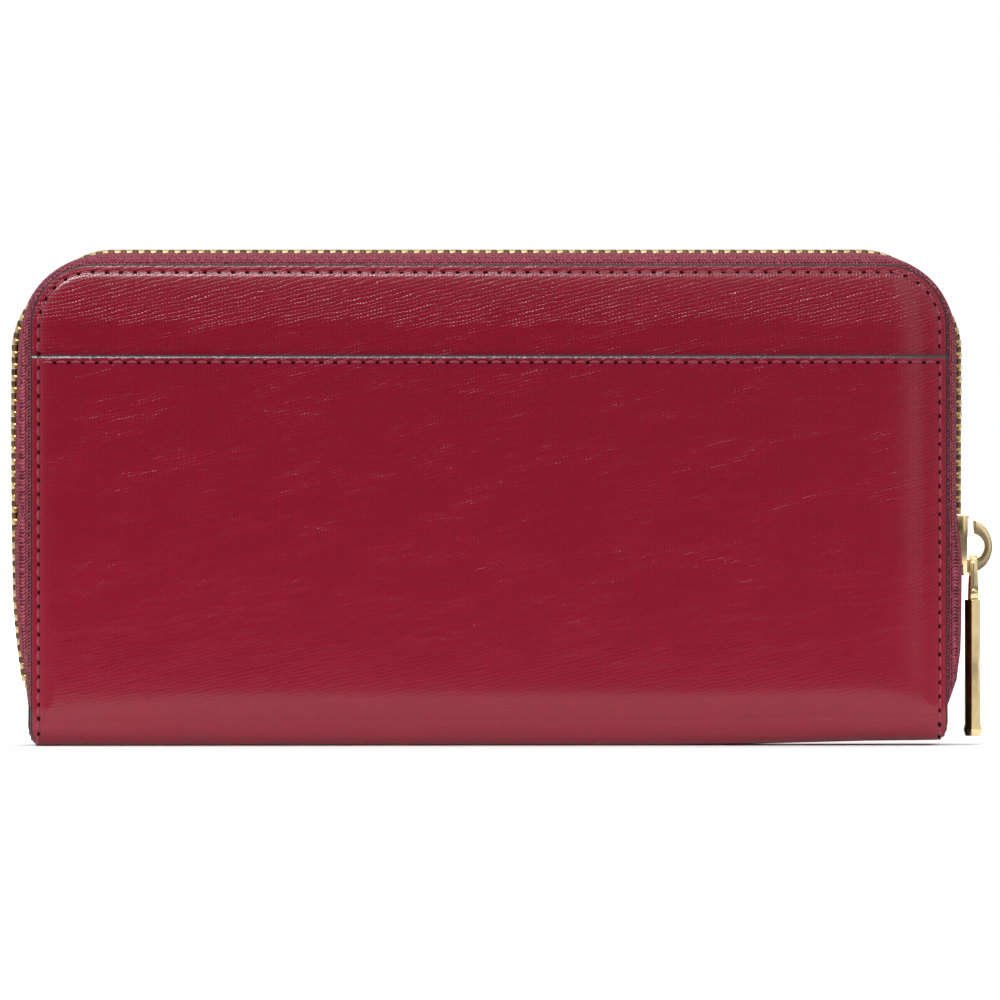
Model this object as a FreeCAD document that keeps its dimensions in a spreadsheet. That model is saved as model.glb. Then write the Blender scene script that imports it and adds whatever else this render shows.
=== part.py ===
import FreeCAD, Part
import math
import os
import re

import Sketcher

# A zip-around long wallet, standing on its spine.
# X runs along the wallet, Y from the rear face to the front face, Z up.
# The origin is the middle of the spine's flat underside. Everything is in millimetres.

DRIVING = {
    # the leather shell
    "half_wide": 94.3, "tall": 99.0, "half_thick": 12.8, "corner": 13.0, "skin": 1.0, "slip_gap": 0.4,
    "cover_base": 3.8, "pocket_mouth": 80.4, "pocket_margin": 4.0, "spine_wall": 3.5, "spine_round": 2.0,
    "spine_board_in": 4, "spine_lining_in": 3,
    # what lies between the leather and the cards
    "foam_inset": 0.5, "board": 0.8, "board_inset": 5.0, "board_base": 8.0, "lining": 0.5, "lining_inset": 2.3,
    "lining_base": 4.6, "card_sheet": 0.6, "card_half": 88.0, "card_base": 5.2,
    "mouth_top": 84.0, "mouth_step": 16.0,
    # the main zip: offsets run outward from the edge of the leather
    "tape": 0.5, "tape_margin": 4.5, "tape_foot": 8.2, "left_bend": 13.4, "left_full": 32.0, "left_draw": 1.85,
    "right_bend": 19.6, "tape_side": 2.65, "tape_crest": 2.2, "tape_shoulder": 6.0, "tape_shoulder_in": 0.3,
    "tape_round": 6.4, "tape_fold": 0.4, "tape_heel": 0.6, "stop_long": 1.6,
    "chain_gap": 0.9, "pitch": 2.46, "tooth_long": 1.05, "tooth_high": 1.45, "tooth_reach": 0.75,
    "chain_side": 3.45, "chain_top": 3.0, "chain_corner": 20.9,
    # the main slider and its pull
    "slider_low": 34.8, "slider_high": 47.2, "slider_half": 4.7, "plate": 0.8, "slot_low": 1.8,
    "slot_high": 2.75, "post_half": 0.55, "post_long": 6.0, "post_bite": 0.4, "plate_clear": 0.1,
    "throat_clear": 0.15, "cap_long": 4.6, "cap_high": 0.35, "cap_in": 0.8,
    "hook_x": 99.25, "hook_z": 40.8, "hook_out_x": 4.75, "hook_out_z": 5.5, "hook_in_x": 3.1,
    "hook_in_z": 2.7, "hook_half": 1.0, "hook_cut": 0.8, "strap": 0.6, "strap_clear": 0.2,
    "strap_half": 0.85, "strap_flare": 1.0, "strap_set": 0.3, "strap_end": 1.4, "bridge_drop": 2.3,
    "pin_x": 100.15, "pin_z": 31.4, "pin_radius": 0.5, "pin_clear": 0.1,
    "eye_radius": 1.2, "bar_top": 29.8, "bar_base": 1.8, "bar_thick": 3.1, "bar_half": 2.3, "bar_set": 0.2,
    "bar_lip": 0.3, "bar_lip_long": 1.2,
    # the coin pocket in the middle
    "coin_half": 87.0, "coin_base": 2.6, "coin_top": 84.0, "coin_inner": 2.2, "coin_wall": 0.5,
    "coin_tape": 0.4, "coin_tape_drop": 7.5, "coin_tape_half": 80.0, "coin_gap": 0.55,
    "coin_binding": 0.6, "coin_fold_up": 1.5, "coin_pitch": 2.0, "coin_tooth": 0.8, "coin_tooth_high": 1.0,
    "coin_tooth_clear": 0.15, "coin_stop_in": 3.0, "coin_slider_x": -75.0, "coin_slider_long": 7.0,
    "coin_plate": 0.7, "coin_low_half": 1.4, "coin_top_half": 2.2, "coin_low": 0.1, "coin_high": 2.5,
    "bail": 1.7, "bail_wire": 0.6, "bail_leg": 0.9, "bail_wide": 1.0, "tab_half": 1.8, "tab_sheet": 0.8,
    "tab_tail": 0.5, "tab_window_half": 0.9, "tab_window_start": 0.5, "tab_window_end": 2.6,
    "coin_pull_long": 11.0,
    # the folding gussets
    "gusset": 0.4, "gusset_base": 4.5, "gusset_top": 78.0, "gusset_low_fold": 4.0, "gusset_high_fold": 17.0,
    "gusset_cover_x": 91.0, "gusset_cover_y": 8.8, "gusset_fold_x": 88.9, "gusset_fold_y": 7.0,
    "gusset_middle_y": 5.0, "gusset_coin_x": 86.8, "gusset_coin_y": 3.0,
}

doc = FreeCAD.newDocument("long_wallet")
sizes = doc.addObject("Spreadsheet::Sheet", "Sizes")
for row, (alias, value) in enumerate(DRIVING.items(), 1):
    sizes.set(f"A{row}", alias)
    sizes.set(f"B{row}", str(value))
    sizes.setAlias(f"B{row}", alias)
doc.recompute()

pieces = []


def size(alias):
    return float(sizes.get(alias))


def formula(text):
    # "skin + board" becomes "Sizes.skin + Sizes.board"
    return re.sub(r"[a-z]\w+", r"Sizes.\g<0>", text)


def named(piece, label):
    piece.Label = label
    pieces.append(piece)
    return piece


def move(piece, **places):
    for axis, text in places.items():
        piece.setExpression(f"Placement.Base.{axis}", formula(text))
    return piece


def block(label, x, y, z):
    # a box whose lowest corner and lengths are formulas: each of x, y, z is (start, length)
    piece = named(doc.addObject("Part::Box", label), label)
    for prop, (start, length) in zip(("Length", "Width", "Height"), (x, y, z)):
        piece.setExpression(prop, formula(length))
    return move(piece, x=x[0], y=y[0], z=z[0])


def mirrored(source, label, normal):
    copy = named(doc.addObject("Part::Mirroring", label), label)
    copy.Source = source
    copy.Normal = normal
    return copy


def body(label):
    return named(doc.addObject("PartDesign::Body", label), label)


def sketch(owner, name, role, corners):
    # a closed outline of straight lines on one of the body's own planes, each corner bound to formulas
    flat = owner.newObject("Sketcher::SketchObject", name)
    plane = next(f for f in owner.Origin.OriginFeatures if f.Role == role)
    flat.AttachmentSupport = [(plane, "")]
    flat.MapMode = "FlatFace"
    count = len(corners)
    turns = [math.tau * i / count for i in range(count)]
    rough = [FreeCAD.Vector(math.cos(turn), math.sin(turn)) for turn in turns]
    for i in range(count):
        flat.addGeometry(Part.LineSegment(rough[i], rough[(i + 1) % count]), False)
    for i in range(count):
        flat.addConstraint(Sketcher.Constraint("Coincident", i, 2, (i + 1) % count, 1))
    for i, corner in enumerate(corners):
        for kind, text, now in zip(("DistanceX", "DistanceY"), corner, rough[i]):
            number = flat.addConstraint(Sketcher.Constraint(kind, -1, 1, i, 1, now))
            flat.setExpression(f"Constraints[{number}]", formula(text))
    return flat


def pad(owner, name, outline, length, both_ways=False, start=None):
    feature = owner.newObject("PartDesign::Pad", name)
    feature.Profile = outline
    feature.setExpression("Length", formula(length))
    if both_ways:
        feature.SideType = "Symmetric"
    if start:
        outline.setExpression("AttachmentOffset.Base.z", formula(start))
    outline.Visibility = False
    return feature


def roundEdges(owner, name, base, radius, along, wanted):
    # rounds the edges that run along one axis and whose middle passes the test
    doc.recompute()
    chosen = []
    for number, edge in enumerate(base.Shape.Edges, 1):
        span = edge.Vertexes[-1].Point - edge.Vertexes[0].Point
        straight = len(edge.Vertexes) == 2 and abs(abs(span[along]) - span.Length) < 1e-6
        if straight and wanted(edge.CenterOfMass):
            chosen.append(f"Edge{number}")
    feature = owner.newObject("PartDesign::Fillet", name)
    feature.Base = (base, chosen)
    feature.setExpression("Radius", formula(radius))
    return feature


def panel(label, half, base, top, thick, far_face, corner=None):
    # an upright sheet with two round top corners; far_face is the side with the larger Y
    owner = body(label)
    outline = sketch(owner, label + "_outline", "XZ_Plane",
                     [(f"0 - ({half})", base), (half, base), (half, top), (f"0 - ({half})", top)])
    sheet = pad(owner, label + "_sheet", outline, thick)
    if corner:
        roundEdges(owner, label + "_corners", sheet, corner, 1, lambda p: p.z > 50)
    move(owner, y=far_face)
    return owner


# ---- the rear cover: back panel, slip pocket, board, lining and card rows ----

pocket = panel("rear_pocket_leather", "half_wide", "cover_base", "pocket_mouth", "skin + slip_gap",
               "skin + slip_gap - half_thick")
recess = sketch(pocket, "slip_outline", "XZ_Plane",
                [("pocket_margin - half_wide", "board_base"), ("half_wide - pocket_margin", "board_base"),
                 ("half_wide - pocket_margin", "pocket_mouth"), ("pocket_margin - half_wide", "pocket_mouth")])
slip = pocket.newObject("PartDesign::Pocket", "slip_space")
slip.Profile = recess
slip.Reversed = True
slip.setExpression("Length", formula("slip_gap"))

panel("rear_back_panel", "half_wide", "cover_base", "tall", "skin", "skin * 2 + slip_gap - half_thick",
      "corner")
rear_board = panel("rear_board", "half_wide - board_inset", "board_base", "tall - board_inset", "board",
                   "skin * 2 + slip_gap + board - half_thick", "corner - board_inset")
rear_lining = panel("rear_lining", "half_wide - lining_inset", "lining_base", "tall - lining_inset",
                    "lining", "skin * 2 + slip_gap + board + lining - half_thick", "corner - lining_inset")
rear_rows = []
for row in range(3):
    rear_rows.append(block(
        f"rear_card_row_{row + 1}", ("0 - card_half", "card_half * 2"),
        (f"skin * 2 + slip_gap + board + lining - half_thick + card_sheet * {row}", "card_sheet"),
        ("card_base", f"mouth_top - card_base - mouth_step * {row}")))

# ---- the front cover: one leather sheet over thin foam, and the same inside ----

panel("front_leather", "half_wide", "cover_base", "tall", "skin", "half_thick", "corner")
panel("front_padding", "half_wide - foam_inset", "lining_base", "tall - foam_inset", "skin + slip_gap",
      "half_thick - skin", "corner - foam_inset")
FLIP_Y = (0, 1, 0)
FLIP_X = (1, 0, 0)
mirrored(rear_board, "front_board", FLIP_Y)
mirrored(rear_lining, "front_lining", FLIP_Y)
for row, source in enumerate(rear_rows):
    mirrored(source, f"front_card_row_{row + 1}", FLIP_Y)

# ---- the spine: a shallow channel of leather with a board and a lining in it ----

spine = body("spine_leather")
wall = "half_thick - skin"
channel = sketch(spine, "channel", "YZ_Plane",
                 [("0 - half_thick", "0"), ("half_thick", "0"), ("half_thick", "spine_wall"),
                  (wall, "spine_wall"), (wall, "skin"), (f"0 - ({wall})", "skin"),
                  (f"0 - ({wall})", "spine_wall"), ("0 - half_thick", "spine_wall")])
run = pad(spine, "spine_run", channel, "half_wide * 2 - skin", both_ways=True)
roundEdges(spine, "spine_folds", run, "spine_round", 0, lambda p: p.z < 0.1)
for label, inset, start, thick in (("spine_board", "spine_board_in", "skin", "skin"),
                                   ("spine_lining", "spine_lining_in", "skin * 2", "lining")):
    block(label, (f"{inset} - half_wide", f"half_wide * 2 - {inset} * 2"),
          ("spine_round - half_thick", "half_thick * 2 - spine_round * 2"), (start, thick))

# ---- the zip tape: a folded strip that follows the edge of the cover, narrowing at both feet ----


def rail(side, top, corner, foot, y):
    # one long edge of the tape: foot, drawn-in stretch, side, corner, top, corner, side, foot
    wide = size("half_wide")
    reach = wide + side
    crest = size("tall") + top
    bend = corner * (1 - math.sqrt(0.5))
    drawn = min(reach, max(wide + foot, reach - size("left_draw")))
    stops = [(-wide - foot, size("tape_foot")), (-drawn, size("left_bend")), (-reach, size("left_full")),
             (-reach, crest - corner), (-reach + corner, crest), (reach - corner, crest),
             (reach, crest - corner), (reach, size("right_bend")), (wide + foot, size("tape_foot"))]
    points = [FreeCAD.Vector(x, y, z) for x, z in stops]
    edges = []
    for start, end in zip(points, points[1:]):
        if start.z > size("left_full") and abs(start.x - end.x) > 1 and abs(start.z - end.z) > 1:
            outer = math.copysign(reach - bend, start.x + end.x)
            middle = FreeCAD.Vector(outer, y, crest - bend)
            edges.append(Part.Arc(start, middle, end).toShape())
        else:
            edges.append(Part.LineSegment(start, end).toShape())
    return edges


def railSolid(rails):
    # a closed solid between rails that run side by side
    faces = []
    for one, other in zip(rails, rails[1:] + rails[:1]):
        faces += [Part.makeRuledSurface(a, b) for a, b in zip(one, other)]
    for end, corner in ((0, 0), (-1, -1)):
        ring = [edges[end].Vertexes[corner].Point for edges in rails]
        faces.append(Part.Face(Part.makePolygon(ring + ring[:1])))
    return closedSolid(faces)


def closedSolid(faces):
    shell = Part.Shell(faces)
    shell.sewShape()
    solid = Part.makeSolid(shell)
    if solid.Volume < 0:
        solid.reverse()
    return solid


def shaped(label, shape):
    piece = named(doc.addObject("Part::Feature", label), label)
    piece.Shape = shape
    piece.Placement = FreeCAD.Placement()
    return piece


margin = -size("tape_margin")
inner_round = size("corner") + margin
base_round = size("corner")
tape, fold, heel = size("tape"), size("tape_fold"), size("tape_heel")
under_leather = size("skin") * 2 + size("slip_gap") - size("half_thick") + tape / 10
lower = under_leather + tape
edge_y = -size("chain_gap")
shoulder_y = -size("tape_shoulder")
side, crest, turn = size("tape_side"), size("tape_crest"), base_round + size("tape_round")
shoulder_in = size("tape_shoulder_in")
rear_tape = shaped("rear_tape", railSolid([
    rail(margin, margin, inner_round, margin, under_leather),
    rail(fold, fold, base_round + fold, fold, under_leather),
    rail(side - shoulder_in, crest - shoulder_in, turn - 1, heel - tape / 5, shoulder_y),
    rail(side, crest, turn, heel, edge_y),
    rail(side - tape, crest - tape, turn - tape, heel - tape, edge_y),
    rail(side - shoulder_in - tape, crest - shoulder_in - tape, turn - 1 - tape, 0, shoulder_y),
    rail(fold - tape, fold - tape, base_round + fold - tape, fold - tape, lower),
    rail(margin, margin, inner_round, margin, lower),
]))
mirrored(rear_tape, "front_tape", FLIP_Y)

# ---- the teeth: two rows that mesh from the left foot, over the top and down to the slider ----

TOOTH_SIDE = size("half_wide") + size("chain_side") - size("tooth_high")
TOOTH_TOP = size("tall") + size("chain_top") - size("tooth_high")
TOOTH_ROUND = size("chain_corner") - size("tooth_high")


def alongZip(distance):
    # place and outward angle at a distance along the inner line of the teeth, from the left foot
    draw, rise = size("left_draw"), size("left_full") - size("left_bend")
    slant = math.hypot(draw, rise)
    if distance < slant:
        share = distance / slant
        height = size("left_bend") + rise * share
        return draw * (1 - share) - TOOTH_SIDE, height, math.pi + math.atan(draw / rise)
    distance -= slant
    upright = TOOTH_TOP - TOOTH_ROUND - size("left_full")
    quarter = TOOTH_ROUND * math.pi / 2
    straight = 2 * (TOOTH_SIDE - TOOTH_ROUND)
    centre_x, centre_z = TOOTH_SIDE - TOOTH_ROUND, TOOTH_TOP - TOOTH_ROUND
    if distance < upright:
        return -TOOTH_SIDE, size("left_full") + distance, math.pi
    distance -= upright
    if distance < quarter:
        angle = math.pi - distance / TOOTH_ROUND
        return -centre_x + TOOTH_ROUND * math.cos(angle), centre_z + TOOTH_ROUND * math.sin(angle), angle
    distance -= quarter
    if distance < straight:
        return -centre_x + distance, TOOTH_TOP, math.pi / 2
    distance -= straight
    if distance < quarter:
        angle = math.pi / 2 - distance / TOOTH_ROUND
        return centre_x + TOOTH_ROUND * math.cos(angle), centre_z + TOOTH_ROUND * math.sin(angle), angle
    return TOOTH_SIDE, centre_z - (distance - quarter), 0.0


def toothRow(shift, side):
    # side -1 is the rear row, +1 the front row
    long, high, gap, reach = size("tooth_long"), size("tooth_high"), size("chain_gap"), size("tooth_reach")
    start = -gap if side < 0 else -reach
    tooth = Part.makeBox(high, gap + reach, long, FreeCAD.Vector(0, start, -long / 2))
    teeth = []
    distance = long / 2 + shift
    while True:
        x, z, angle = alongZip(distance)
        if x > 0 and z < size("slider_high") + long * 0.9:
            return Part.makeCompound(teeth)
        turn = FreeCAD.Rotation(FreeCAD.Vector(0, 1, 0), -math.degrees(angle))
        copy = tooth.copy()
        copy.Placement = FreeCAD.Placement(FreeCAD.Vector(x, 0, z), turn)
        teeth.append(copy)
        distance += size("pitch")


shaped("rear_teeth", toothRow(0.0, -1))
shaped("front_teeth", toothRow(size("pitch") / 2, 1))
block("bottom_stop", ("left_draw - half_wide - chain_side", "tooth_high - left_draw / 20"),
      ("0 - tooth_reach", "tooth_reach * 2"), ("left_bend - stop_long * 1.1", "stop_long"))
rear_stop = block("rear_top_stop", ("half_wide + tape_side - tape", "tape"),
                  ("0 - tooth_reach", "tooth_reach * 0.8"), ("slider_low - stop_long", "stop_long * 0.95"))
mirrored(rear_stop, "front_top_stop", FLIP_Y)

# ---- the main slider: two plates joined by a post, with lips that leave a slot for each tape ----

slider = body("slider_body")
outer_face = "half_wide + chain_side + plate_clear"
inner_face = "half_wide + chain_side - tooth_high - throat_clear"


def lippedPlate(name, face, lip, back, length, start):
    # a plate from face to back, with a lip along each long side that reaches to lip
    half, inside = "slider_half", "(slider_half - plate)"
    outline = sketch(slider, name + "_outline", "XY_Plane",
                     [(back, f"0 - {half}"), (back, half), (lip, half), (lip, inside), (face, inside),
                      (face, f"0 - {inside}"), (lip, f"0 - {inside}"), (lip, f"0 - {half}")])
    return pad(slider, name, outline, length, start=start)


post = sketch(slider, "post_outline", "XY_Plane",
              [(f"{inner_face} - post_bite", "0 - post_half"), (f"{outer_face} + post_bite", "0 - post_half"),
               (f"{outer_face} + post_bite", "post_half"), (f"{inner_face} - post_bite", "post_half")])
pad(slider, "post", post, "post_long", start="slider_low")
full = "slider_high - slider_low"
lippedPlate("outer_plate", outer_face, "half_wide + slot_high", f"{outer_face} + plate", full, "slider_low")
lippedPlate("inner_plate", inner_face, "half_wide + slot_low", f"{inner_face} - plate", full, "slider_low")
cap = sketch(slider, "cap_outline", "XY_Plane",
             [(f"{outer_face} + plate", "cap_in - slider_half"),
              (f"{outer_face} + plate + cap_high", "cap_in - slider_half"),
              (f"{outer_face} + plate + cap_high", "slider_half - cap_in"),
              (f"{outer_face} + plate", "slider_half - cap_in")])
pad(slider, "cap", cap, "cap_long", start="slider_high - cap_long")

# ---- the open hook on the slider, an oval band in the XZ plane whose lower arm stands on the plate ----


def oval(half_x, half_z, y):
    curve = Part.Ellipse(FreeCAD.Vector(0, 0, 0), max(half_x, half_z), min(half_x, half_z))
    face = Part.Face(Part.Wire(curve.toShape()))
    long_way = FreeCAD.Rotation(FreeCAD.Vector(0, 0, 1), 0 if half_x > half_z else 90)
    upright = FreeCAD.Rotation(FreeCAD.Vector(1, 0, 0), 90)
    face.Placement = FreeCAD.Placement(FreeCAD.Vector(size("hook_x"), y, size("hook_z")), upright * long_way)
    return face


def hookShape():
    half = size("hook_half")
    width = FreeCAD.Vector(0, 2 * half, 0)
    ring = oval(size("hook_out_x"), size("hook_out_z"), -half).extrude(width)
    ring = ring.cut(oval(size("hook_in_x"), size("hook_in_z"), -half - 1).extrude(width * 2))
    plate_top = size("half_wide") + size("chain_side") + size("plate_clear") + size("plate")
    low = size("hook_z") - size("hook_out_z")
    away = Part.makeBox(20, 20, 20, FreeCAD.Vector(size("hook_x") + size("hook_cut") - 20, -10, size("hook_z")))
    behind = Part.makeBox(20, 20, 30, FreeCAD.Vector(plate_top - 20, -10, size("hook_z") - 20))
    inner_low = size("hook_z") - size("hook_in_z")
    root = Part.makeBox(size("hook_x") - plate_top, 2 * half, inner_low - low - 0.4,
                        FreeCAD.Vector(plate_top, -half, low + 0.2))
    between = Part.makeBox(size("hook_x") - plate_top, 4, 10, FreeCAD.Vector(plate_top, -2, inner_low))
    return ring.cut(away).cut(behind).cut(between).fuse(root).removeSplitter()


shaped("slider_hook", hookShape())

# ---- the link: a strap folded over the hook's lower arm, and the pin that closes it ----

strap = body("link_strap")
leg_out = "hook_half + strap_clear + strap"
leg_in = "hook_half + strap_clear"
bridge_low = "hook_z - bridge_drop"
strap_low = "pin_z - strap_end"
flare = sketch(strap, "strap_flare_outline", "XZ_Plane",
               [("0 - strap_flare", strap_low), ("strap_flare", strap_low), ("strap_flare", "pin_z + strap_end"),
                ("strap_half", f"{bridge_low} + strap"), ("0 - strap_half", f"{bridge_low} + strap"),
                ("0 - strap_flare", "pin_z + strap_end")])
pad(strap, "strap_run", flare, f"({leg_out}) * 2", both_ways=True)


def boreThrough(owner, name, outline):
    bore = owner.newObject("PartDesign::Pocket", name)
    bore.Profile = outline
    bore.Type = "ThroughAll"
    bore.SideType = "Symmetric"


boreThrough(strap, "strap_slot", sketch(
    strap, "strap_slot_outline", "YZ_Plane",
    [(f"0 - ({leg_in})", f"{strap_low} - strap"), (leg_in, f"{strap_low} - strap"), (leg_in, bridge_low),
     (f"0 - ({leg_in})", bridge_low)]))


def pinHole(owner, name, across):
    # an eight-sided hole about the pin, with a little room all round
    reach = "(pin_radius + pin_clear)"
    corner = f"{reach} * {math.tan(math.pi / 8):.4f}"
    around = [(reach, corner), (corner, reach), (f"0 - {corner}", reach), (f"0 - {reach}", corner),
              (f"0 - {reach}", f"0 - {corner}"), (f"0 - {corner}", f"0 - {reach}"), (corner, f"0 - {reach}"),
              (reach, f"0 - {corner}")]
    boreThrough(owner, name, sketch(owner, name + "_outline", "XZ_Plane",
                                    [(f"{across} + {x}", f"pin_z + {z}") for x, z in around]))


pinHole(strap, "strap_hole", "strap_set")
move(strap, x="pin_x - strap_set")
doc.recompute()

pin = named(doc.addObject("Part::Cylinder", "link_pin"), "link_pin")
pin.setExpression("Radius", formula("pin_radius"))
pin.setExpression("Height", formula(f"({leg_out}) * 2"))
pin.Placement.Rotation = FreeCAD.Rotation(FreeCAD.Vector(1, 0, 0), -90)
move(pin, x="pin_x", y=f"0 - ({leg_out})", z="pin_z")

# ---- the pull bar: a long bar with an eye on the pin and a slightly wider lip at its free end ----

bar = body("pull_bar")
half_bar = "bar_thick / 2"
lip_base = "bar_base + bar_lip_long"
profile = sketch(bar, "bar_profile", "XZ_Plane",
                 [(f"0 - {half_bar} - bar_lip", "bar_base"), (f"{half_bar} + bar_lip", "bar_base"),
                  (f"{half_bar} + bar_lip", lip_base), (half_bar, lip_base + " + bar_lip_long"),
                  (half_bar, "bar_top"), (f"0 - {half_bar}", "bar_top"),
                  (f"0 - {half_bar}", lip_base + " + bar_lip_long"), (f"0 - {half_bar} - bar_lip", lip_base)])
bar_run = pad(bar, "bar_run", profile, "bar_half * 2", both_ways=True)
eye = sketch(bar, "eye_profile", "XZ_Plane",
             [("bar_set - eye_radius", "bar_top - bar_lip"), ("bar_set + eye_radius", "bar_top - bar_lip"),
              ("bar_set + eye_radius", "pin_z + eye_radius"), ("bar_set - eye_radius", "pin_z + eye_radius")])
tongue = pad(bar, "tongue", eye, "hook_half * 2", both_ways=True)
roundEdges(bar, "tongue_round", tongue, "eye_radius * 0.95", 1, lambda p: p.z > size("pin_z") + 1)
pinHole(bar, "eye_hole", "bar_set")
move(bar, x="pin_x - bar_set")

# ---- the coin pocket: two walls, bound sides, and a small zip along the top ----

coin_wall = block("coin_wall_rear", ("0 - coin_half", "coin_half * 2"),
                  ("0 - coin_inner - coin_wall", "coin_wall"), ("coin_base", "coin_top - coin_base"))
mirrored(coin_wall, "coin_wall_front", FLIP_Y)
binding = block("coin_binding_left", ("0 - coin_half - coin_binding", "coin_binding * 0.95"),
                ("0 - coin_inner - coin_wall", "coin_inner * 2 + coin_wall * 2"),
                ("coin_base", "coin_top - coin_base"))
mirrored(binding, "coin_binding_right", FLIP_X)

coin_tape = body("coin_tape_rear")
wall_face = "coin_tape / 8 - coin_inner"
coin_crest = "coin_top + coin_fold_up"
tape_low = f"{coin_crest} - coin_tape_drop"
hem = sketch(coin_tape, "coin_tape_fold", "YZ_Plane",
             [(wall_face, tape_low), (f"{wall_face} + coin_tape", tape_low),
              (f"{wall_face} + coin_tape", coin_crest), ("0 - coin_gap", coin_crest),
              ("0 - coin_gap", f"{coin_crest} + coin_tape"), (wall_face, f"{coin_crest} + coin_tape")])
pad(coin_tape, "coin_tape_run", hem, "coin_tape_half * 2", both_ways=True)
mirrored(coin_tape, "coin_tape_front", FLIP_Y)


def coinTeeth():
    gap, long, clear = size("coin_gap"), size("coin_tooth"), size("coin_tooth_clear")
    wide, high = 2 * gap - clear, size("coin_tooth_high")
    low = size("coin_top") + size("coin_fold_up") - 2 * clear
    start = size("coin_slider_x") + size("coin_slider_long") / 2 + clear * 4
    count = int((size("coin_tape_half") - size("coin_stop_in") - start) / size("coin_pitch"))
    teeth = []
    for number in range(count):
        x = start + number * size("coin_pitch")
        rear = Part.makeBox(long, wide, high, FreeCAD.Vector(x, -gap, low))
        shift = FreeCAD.Vector(size("coin_pitch") / 2, clear, 0)
        teeth += [rear, rear.translated(shift)]
    return Part.makeCompound(teeth)


shaped("coin_teeth", coinTeeth())
block("coin_stops", ("coin_tape_half - coin_stop_in", "coin_tooth * 1.5"),
      ("0 - coin_tooth_high / 2", "coin_tooth_high"),
      (f"{coin_crest} - coin_tooth_clear * 2", "coin_tooth_high"))

# the small slider, its bail and its tab rest over the closed end on the left
coin_slider = body("coin_slider_body")
coin_run = "coin_slider_long"
post_wide = "coin_gap / 2"
coin_post = sketch(coin_slider, "coin_post_outline", "XY_Plane",
                   [("0 - coin_plate", f"0 - {post_wide}"), ("coin_plate", f"0 - {post_wide}"),
                    ("coin_plate", post_wide), ("0 - coin_plate", post_wide)])
pad(coin_slider, "coin_post", coin_post, "coin_high", start="coin_top + coin_low * 2")
for name, half, start in (("coin_low_plate", "coin_low_half", "coin_top + coin_low"),
                          ("coin_top_plate", "coin_top_half", "coin_top + coin_high")):
    plate = sketch(coin_slider, name + "_outline", "XY_Plane",
                   [(f"0 - {coin_run} / 2", f"0 - {half}"), (f"{coin_run} / 2", f"0 - {half}"),
                    (f"{coin_run} / 2", half), (f"0 - {coin_run} / 2", half)])
    pad(coin_slider, name, plate, "coin_plate", start=start)
move(coin_slider, x="coin_slider_x")


def bailShape():
    # half a ring over the tab's crossbar, standing on two short legs
    axis = FreeCAD.Vector(0, 1, 0)
    outer, wire, leg, wide = size("bail"), size("bail_wire"), size("bail_leg"), size("bail_wide")
    base = size("coin_top") + size("coin_high") + size("coin_plate")
    centre = FreeCAD.Vector(size("coin_slider_x"), -wide / 2, base + leg)
    ring = Part.makeCylinder(outer, wide, centre, axis).cut(Part.makeCylinder(outer - wire, wide, centre, axis))
    ring = ring.cut(Part.makeBox(outer * 2, wide, outer, centre - FreeCAD.Vector(outer, 0, outer)))
    legs = [Part.makeBox(wire, wide, leg, centre + FreeCAD.Vector(x, 0, -leg)) for x in (-outer, outer - wire)]
    return ring.fuse(legs).removeSplitter()


shaped("coin_slider_bail", bailShape())

tab = body("coin_pull_tab")
tab_outline = sketch(tab, "tab_outline", "XY_Plane",
                     [("0 - tab_tail", "0 - tab_half"), ("coin_pull_long", "0 - tab_half"),
                      ("coin_pull_long", "tab_half"), ("0 - tab_tail", "tab_half")])
pad(tab, "tab_run", tab_outline, "tab_sheet", both_ways=True)
boreThrough(tab, "tab_window", sketch(
    tab, "window_outline", "XY_Plane",
    [("tab_window_start", "0 - tab_window_half"), ("tab_window_end", "0 - tab_window_half"),
     ("tab_window_end", "tab_window_half"), ("tab_window_start", "tab_window_half")]))
move(tab, x="coin_slider_x", z="coin_top + coin_high + coin_plate + bail_leg")

# ---- the gussets: one inward fold at each end of each compartment, deeper towards the top ----


def gussetRing(height, depth):
    # the folded strip seen from above at one height: cover side, fold, coin pocket side
    half = size("gusset") / 2
    apex = depth - size("gusset_fold_x")
    folds = [(-size("gusset_cover_x"), -size("gusset_cover_y")),
             (-size("gusset_fold_x"), -size("gusset_fold_y")),
             (apex, -size("gusset_middle_y")), (-size("gusset_coin_x"), -size("gusset_coin_y"))]
    near, far = [], []
    for number, (x, y) in enumerate(folds):
        before = folds[max(number - 1, 0)]
        after = folds[min(number + 1, len(folds) - 1)]
        along = FreeCAD.Vector(after[0] - before[0], after[1] - before[1], 0).normalize()
        if number == 2:
            along = FreeCAD.Vector(0, 1, 0)
        across = FreeCAD.Vector(-along.y, along.x, 0) * half
        near.append(FreeCAD.Vector(x, y, height) + across)
        far.append(FreeCAD.Vector(x, y, height) - across)
    return near + far[::-1]


def gussetShape():
    low = gussetRing(size("gusset_base"), size("gusset_low_fold"))
    high = gussetRing(size("gusset_top"), size("gusset_high_fold"))
    around = range(len(low))
    faces = [Part.Face(Part.makePolygon(ring + ring[:1])) for ring in (low, high)]
    for i, j in zip(around, [*around[1:], 0]):
        faces.append(Part.makeRuledSurface(Part.makeLine(low[i], low[j]), Part.makeLine(high[i], high[j])))
    return closedSolid(faces)


gusset = shaped("gusset_rear_left", gussetShape())
gusset_right = mirrored(gusset, "gusset_rear_right", FLIP_X)
mirrored(gusset, "gusset_front_left", FLIP_Y)
mirrored(gusset_right, "gusset_front_right", FLIP_Y)

# ---- check and write ----

doc.recompute()
for piece in doc.Objects:
    if {"Invalid", "Error"} & set(piece.State):
        raise RuntimeError(f"{piece.Label} is {piece.State}")
for piece in pieces:
    shape = piece.Shape
    if shape.isNull() or not shape.isValid() or shape.Volume <= 0:
        raise RuntimeError(f"{piece.Label} has no valid solid")

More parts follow.
